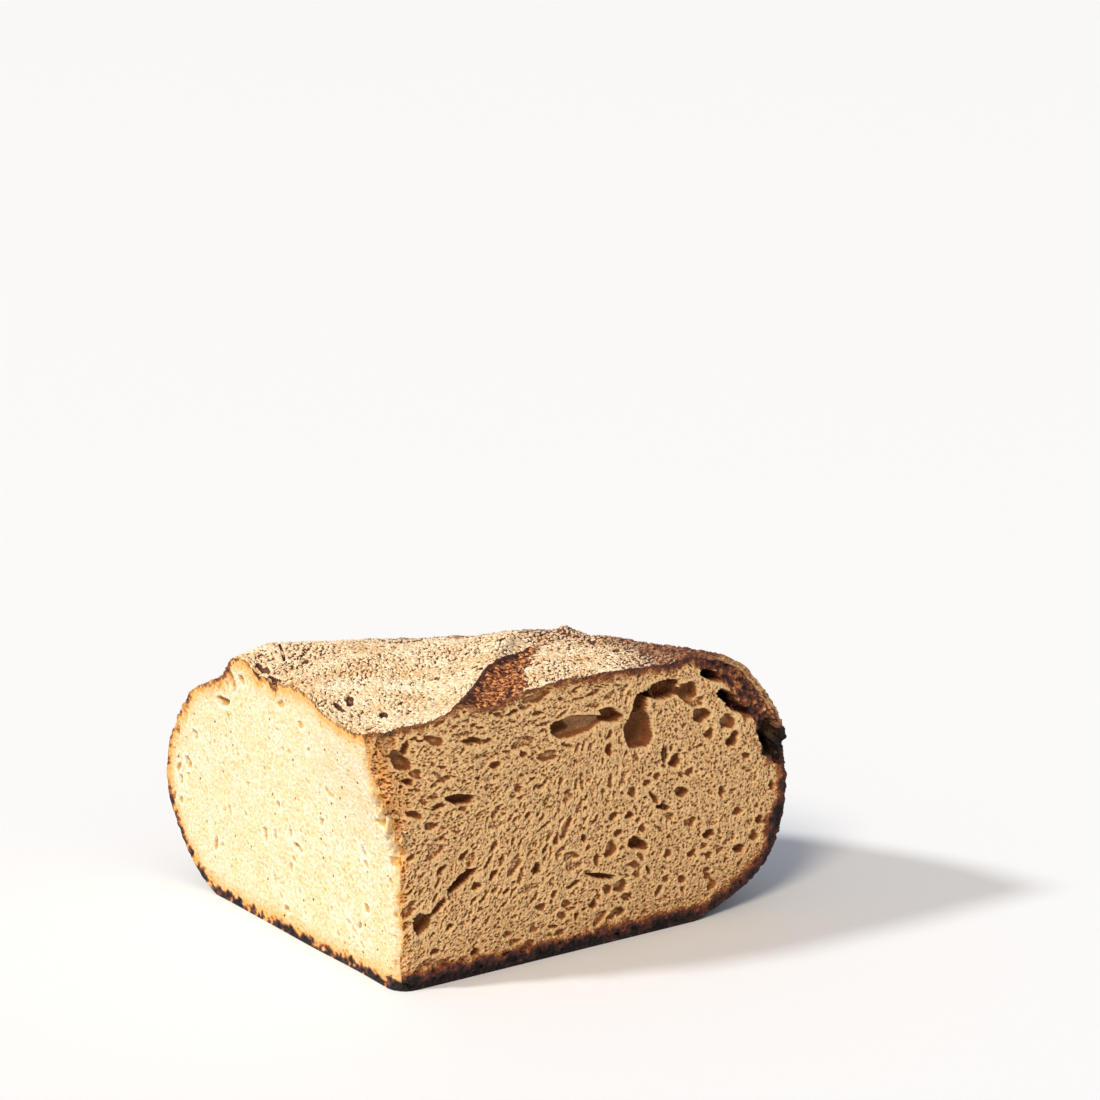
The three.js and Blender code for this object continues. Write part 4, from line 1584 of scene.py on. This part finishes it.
@dataclass(frozen=True)
class CrustFinish(Finish):
    """Baked wheat crust, dusted with flour and charred below. Sizes are in millimetres."""

    name: str = "baked_crust"
    flour: str = "#faedd2"
    flour_shade: str = "#d4aa70"
    brown: str = "#8f5430"
    dark: str = "#432213"
    slash: str = "#eab070"
    slash_mid: str = "#a65f2c"
    slash_dark: str = "#3c1205"
    charred: str = "#171211"
    # Grains of flour are far finer than this. They are drawn as coarse as clumps so that they show
    fine: float = 0.7
    shred: float = 1.2
    patch: float = 3.0
    broad: float = 14.0
    bump: float = 0.35

    def make(self) -> bpy.types.Material:
        """Builds the material.

        Returns:
            A material whose flour breaks up over crackled brown crust.
        """
        material, tree = self.start()
        where = add(tree, "TexCoord", {}, "Object")
        fine, patch, broad, shreds = (
            add(tree, "TexNoise", {"Vector": where, "Scale": 1 / (size * MM), "Detail": detail,
                                   "Roughness": rough})
            for size, detail, rough in ((self.fine, 3.0, 0.7), (self.patch, 3.0, 0.6),
                                        (self.broad, 2.0, 0.55), (self.shred, 2.0, 0.7)))
        low, flour = (add(tree, "Attribute", {}, "Fac", attribute_name=name) for name in ("low", "flour"))
        crust = self.brown_crust(tree, low, fine, patch, shreds)

        drift = add(tree, "Math", {0: broad, 1: 0.5}, **MINUS)
        drift = add(tree, "Math", {0: drift, 1: 0.35, 2: fine}, **TIMES_PLUS)
        drift = add(tree, "MapRange", {0: drift, 1: 0.36, 2: 0.62}, **SMOOTH)
        dust = {6: linear(self.flour_shade), 7: linear(self.flour)}
        dust = add(tree, "Mix", {0: drift, **dust}, 2, **COLOURS)

        # Flour lies where its grain is above a limit, which is higher where it is thin, and higher in
        # hollows and on steep places: the dark crust that shows there is partly its own cracks and partly
        # painted shade
        grain = add(tree, "Math", {0: patch, 1: 0.6}, **TIMES)
        grain = add(tree, "Math", {0: fine, 1: 0.9, 2: grain}, **TIMES_PLUS)
        limit = add(tree, "Math", {0: low, 1: 0.62, 2: 1.08}, **TIMES_PLUS)
        limit = add(tree, "Math", {0: flour, 1: -0.78, 2: limit}, **TIMES_PLUS)
        cover = add(tree, "Math", {0: grain, 1: limit}, **MINUS)
        cover = add(tree, "MapRange", {0: cover, 1: -0.04, 2: 0.07}, **SMOOTH)
        thick = add(tree, "MapRange", {0: flour, 1: 0.06, 2: 0.66}, **SMOOTH)
        cover = add(tree, "Math", {0: cover, 1: thick}, **TIMES)
        colour = add(tree, "Mix", {0: cover, 6: crust, 7: dust}, 2, **COLOURS)
        height = add(tree, "Math", {0: cover, 1: 0.3}, **TIMES)
        height = add(tree, "Math", {0: fine, 1: 0.7, 2: height}, **TIMES_PLUS)
        normal = add(tree, "Bump", {"Strength": 0.7, "Distance": self.bump * MM, "Height": height})

        # Flour is quite matt, and the brittle crust under it catches the light a little
        rough = add(tree, "Math", {0: cover, 1: 0.34, 2: 0.56}, **TIMES_PLUS)
        shader = add(tree, "BsdfPrincipled", {"Base Color": colour, "Roughness": rough, "Normal": normal,
                                              "Specular IOR Level": 0.35})
        add(tree, "OutputMaterial", {"Surface": shader})
        return material

    def brown_crust(self, tree: Tree, low: Socket, fine: Socket, patch: Socket, shreds: Socket) -> Socket:
        """Colours the crust under the flour: crackled brown, torn in the slash, charred below, and darker
        in low and steep places, partly as painted shade.

        Args:
            tree: the material's node tree.
            low: how low or steep a place is among its neighbours.
            fine, patch, shreds: the fine, the patchy and the shredded noise.

        Returns:
            The crust's colour.
        """
        slash, char = (add(tree, "Attribute", {}, "Fac", attribute_name=name) for name in ("slash", "char"))
        crackle = add(tree, "Math", {0: patch, 1: 0.5}, **MINUS)
        crackle = add(tree, "Math", {0: fine, 1: crackle}, **PLUS)
        crackle = add(tree, "MapRange", {0: crackle, 1: 0.35, 2: 0.65}, **SMOOTH)
        crust = add(tree, "Mix", {0: crackle, 6: linear(self.dark), 7: linear(self.brown)}, 2, **COLOURS)

        # Torn crust in the slash: dark between orange flakes with pale tips
        flake = add(tree, "Math", {0: fine, 1: 0.5, 2: shreds}, **TIMES_PLUS)
        flake = add(tree, "Math", {0: low, 1: -0.14, 2: flake}, **TIMES_PLUS)
        torn = linear(self.slash_dark)
        for start, full, code in ((0.68, 0.80, self.slash_mid), (0.81, 0.91, self.slash)):
            share = add(tree, "MapRange", {0: flake, 1: start, 2: full}, **SMOOTH)
            torn = add(tree, "Mix", {0: share, 6: torn, 7: linear(code)}, 2, **COLOURS)
        crust = add(tree, "Mix", {0: slash, 6: crust, 7: torn}, 2, **COLOURS)
        # Painted shade, with the crust's own pits: dark crust in low and steep places
        pit_shade = add(tree, "MapRange", {0: low, 1: 0.3, 2: 1.4}, **SMOOTH)
        pit_shade = add(tree, "Math", {0: pit_shade, 1: 0.75}, **TIMES)
        for share, code in ((pit_shade, self.dark), (char, self.charred)):
            crust = add(tree, "Mix", {0: share, 6: crust, 7: linear(code)}, 2, **COLOURS)
        return crust


# Studio


@dataclass
class Studio:
    """A plain pale floor, soft light and the camera at the photo's angle."""

    shift: Array
    camera_place: tuple[float, float, float] = (-426.6, -669.6, 304.3)
    azimuth: float = -35.54
    elevation: float = 12.55
    lens: float = 98.0
    floor_half: float = 15.0
    floor_colour: str = "#e9f0f7"
    key_from: tuple[float, float, float] = (-0.72, 0.30, 0.62)
    key_strength: float = 2.1
    key_softness: float = 7.0
    key_colour: str = "#fffaf5"
    fill_from: tuple[float, float, float] = (-0.62, -0.42, 0.66)
    fill_strength: float = 1.96
    fill_softness: float = 17.0
    fill_colour: str = "#ffe8cc"
    sky_colour: str = "#f8f8ff"
    sky_strength: float = 0.40

    def build(self) -> None:
        """Adds the floor, the lights, the sky and the camera."""
        self.add_floor()
        self.add_sun("key", self.key_from, self.key_strength, self.key_softness, self.key_colour)
        self.add_sun("fill", self.fill_from, self.fill_strength, self.fill_softness, self.fill_colour)
        self.add_sky()
        self.add_camera()
        bpy.context.scene.view_settings.view_transform = "Standard"

    def add_floor(self) -> None:
        """A wide sheet of matt pale paper under the bread, which shows soft shadows and no shine."""
        bm = bmesh.new()
        bmesh.ops.create_grid(bm, x_segments=1, y_segments=1, size=self.floor_half)
        mesh = bpy.data.meshes.new("floor")
        bm.to_mesh(mesh)
        bm.free()
        floor = bpy.data.objects.new("floor", mesh)
        bpy.context.scene.collection.objects.link(floor)
        material = bpy.data.materials.new("pale_paper")
        material.use_nodes = True
        shader = material.node_tree.nodes["Principled BSDF"]
        shader.inputs["Base Color"].default_value = linear(self.floor_colour)
        shader.inputs["Roughness"].default_value = 0.95
        mesh.materials.append(material)

    def add_sun(self, name: str, source: tuple[float, float, float], strength: float, softness: float,
                colour: str) -> None:
        """Adds one broad, soft light.

        Args:
            name: the light's name.
            source: which way it comes from.
            strength: its strength.
            softness: how wide it looks from the bread, in degrees.
            colour: its colour.
        """
        light = bpy.data.lights.new(name, "SUN")
        light.energy = strength
        light.angle = math.radians(softness)
        light.color = linear(colour)[:3]
        lamp = bpy.data.objects.new(name, light)
        lamp.rotation_mode = "QUATERNION"
        lamp.rotation_quaternion = Vector(source).to_track_quat("Z", "Y")
        bpy.context.scene.collection.objects.link(lamp)

    def add_sky(self) -> None:
        """Even light from all round, a little cool."""
        world = bpy.data.worlds.new("studio")
        world.use_nodes = True
        back = world.node_tree.nodes["Background"]
        back.inputs["Color"].default_value = linear(self.sky_colour)
        back.inputs["Strength"].default_value = self.sky_strength
        bpy.context.scene.world = world

    def add_camera(self) -> None:
        """The camera at the photo's place, looking its way."""
        camera = bpy.data.cameras.new("camera")
        camera.lens = self.lens
        camera.clip_end = 60
        view = bpy.data.objects.new("camera", camera)
        view.location = Vector((np.array(self.camera_place) + self.shift) * MM)
        a, e = math.radians(self.azimuth), math.radians(self.elevation)
        back = Vector((math.sin(a) * math.cos(e), -math.cos(a) * math.cos(e), math.sin(e)))
        view.rotation_mode = "QUATERNION"
        view.rotation_quaternion = (-back).to_track_quat("-Z", "Y")
        bpy.context.scene.collection.objects.link(view)
        bpy.context.scene.camera = view


def part_shift(form: LoafForm) -> Array:
    """Where the loaf's middle lies in the part's frame, in millimetres.

    Args:
        form: the quarter's form, whose box is set in the middle of the solid's box.

    Returns:
        The shift as x, y and z.
    """
    t = np.linspace(0, 1, 60)
    out, turn = turn_and_out(np.stack(np.meshgrid(t, t), -1).reshape(-1, 2))
    turns, ups = (part.ravel() for part in np.meshgrid(t * 90, t))
    spots = np.concatenate([form.points(out, turn, 0 * out + 1), form.points(1 + 0 * ups, turns, ups)])
    own = (spots.min(0) + spots.max(0)) / 2
    low, high = (np.array(corner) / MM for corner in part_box("loaf"))
    shift = (low + high) / 2 - own
    shift[2] = 0
    return shift


def right_face(form: LoafForm, shift: Array) -> CutFace:
    """The right cut, with open crumb that was drawn out along the folds of the dough. Its finish keeps the
    crumb's default colours, tanner and warmer than the left's: painted shade on the face turned from the
    key light.
    """
    return CutFace(
        form, shift, CrumbFinish().make(), Side.RIGHT, RIGHT_HOLES, RIGHT_FLOW, RIGHT_RIND,
        tiles=(("crumb_right_near", 0.0, 0.34), ("crumb_right_middle", 0.34, 0.67),
               ("crumb_right_far", 0.67, 1.0)),
        columns=210, rows=360, pores=((1.8, 3.6, 300, 0.55), (0.9, 1.6, 1100, 0.7)),
        foams=((1.12, 0.95), (0.62, 0.5)), fuzz=1.2, mottle=0.25, seed=11)


def left_face(form: LoafForm, shift: Array) -> CutFace:
    """The left cut, with close crumb. Its finish is a paler, less saturated copy of the crumb's colours:
    painted light on the face the key light falls on.
    """
    finish = CrumbFinish(name="fine_wheat_crumb_lit_copy", pale="#efe5d4", tan="#dfc272", hollow_shade="#c89e3e",
                         deep="#a8742c", bran_share=0.9, contrast=0.75, glow=0.14, grain=1.2)
    return CutFace(
        form, shift, finish.make(), Side.LEFT, LEFT_HOLES, LEFT_FLOW, LEFT_RIND,
        tiles=(("crumb_left", 0.0, 1.0),), columns=380, rows=250,
        pores=((1.3, 2.8, 80, 0.42), (0.6, 1.2, 420, 0.5)), foams=((1.7, 0.3), (0.8, 0.16)),
        fuzz=0.5, mottle=0.8, seed=12)


def crust_shells(form: LoafForm, shift: Array) -> tuple[CrustShell, ...]:
    """The top, the side and the base of the outer crust, all of one finish."""
    crust = CrustFinish().make()
    return (
        CrustShell(form, shift, crust, CrustPart.TOP, ("_near", "_middle", "_far"), columns=150, rows=430),
        CrustShell(form, shift, crust, CrustPart.SIDE, ("_right", "_left"), columns=250, rows=220),
        CrustShell(form, shift, crust, CrustPart.BASE, ("",), columns=110, rows=110),
    )


def main() -> None:
    """Builds the bread, dresses it and sets up the studio."""
    logging.basicConfig(level=logging.INFO, format="%(message)s")
    form = LoafForm()
    shift = part_shift(form)
    form.top_grit, form.side_grit = draw_top_grit(form), draw_side_grit()
    for part in (right_face(form, shift), left_face(form, shift), *crust_shells(form, shift)):
        part.build()
    Studio(shift).build()
    bpy.context.view_layer.update()


if __name__ == "__main__":
    main()
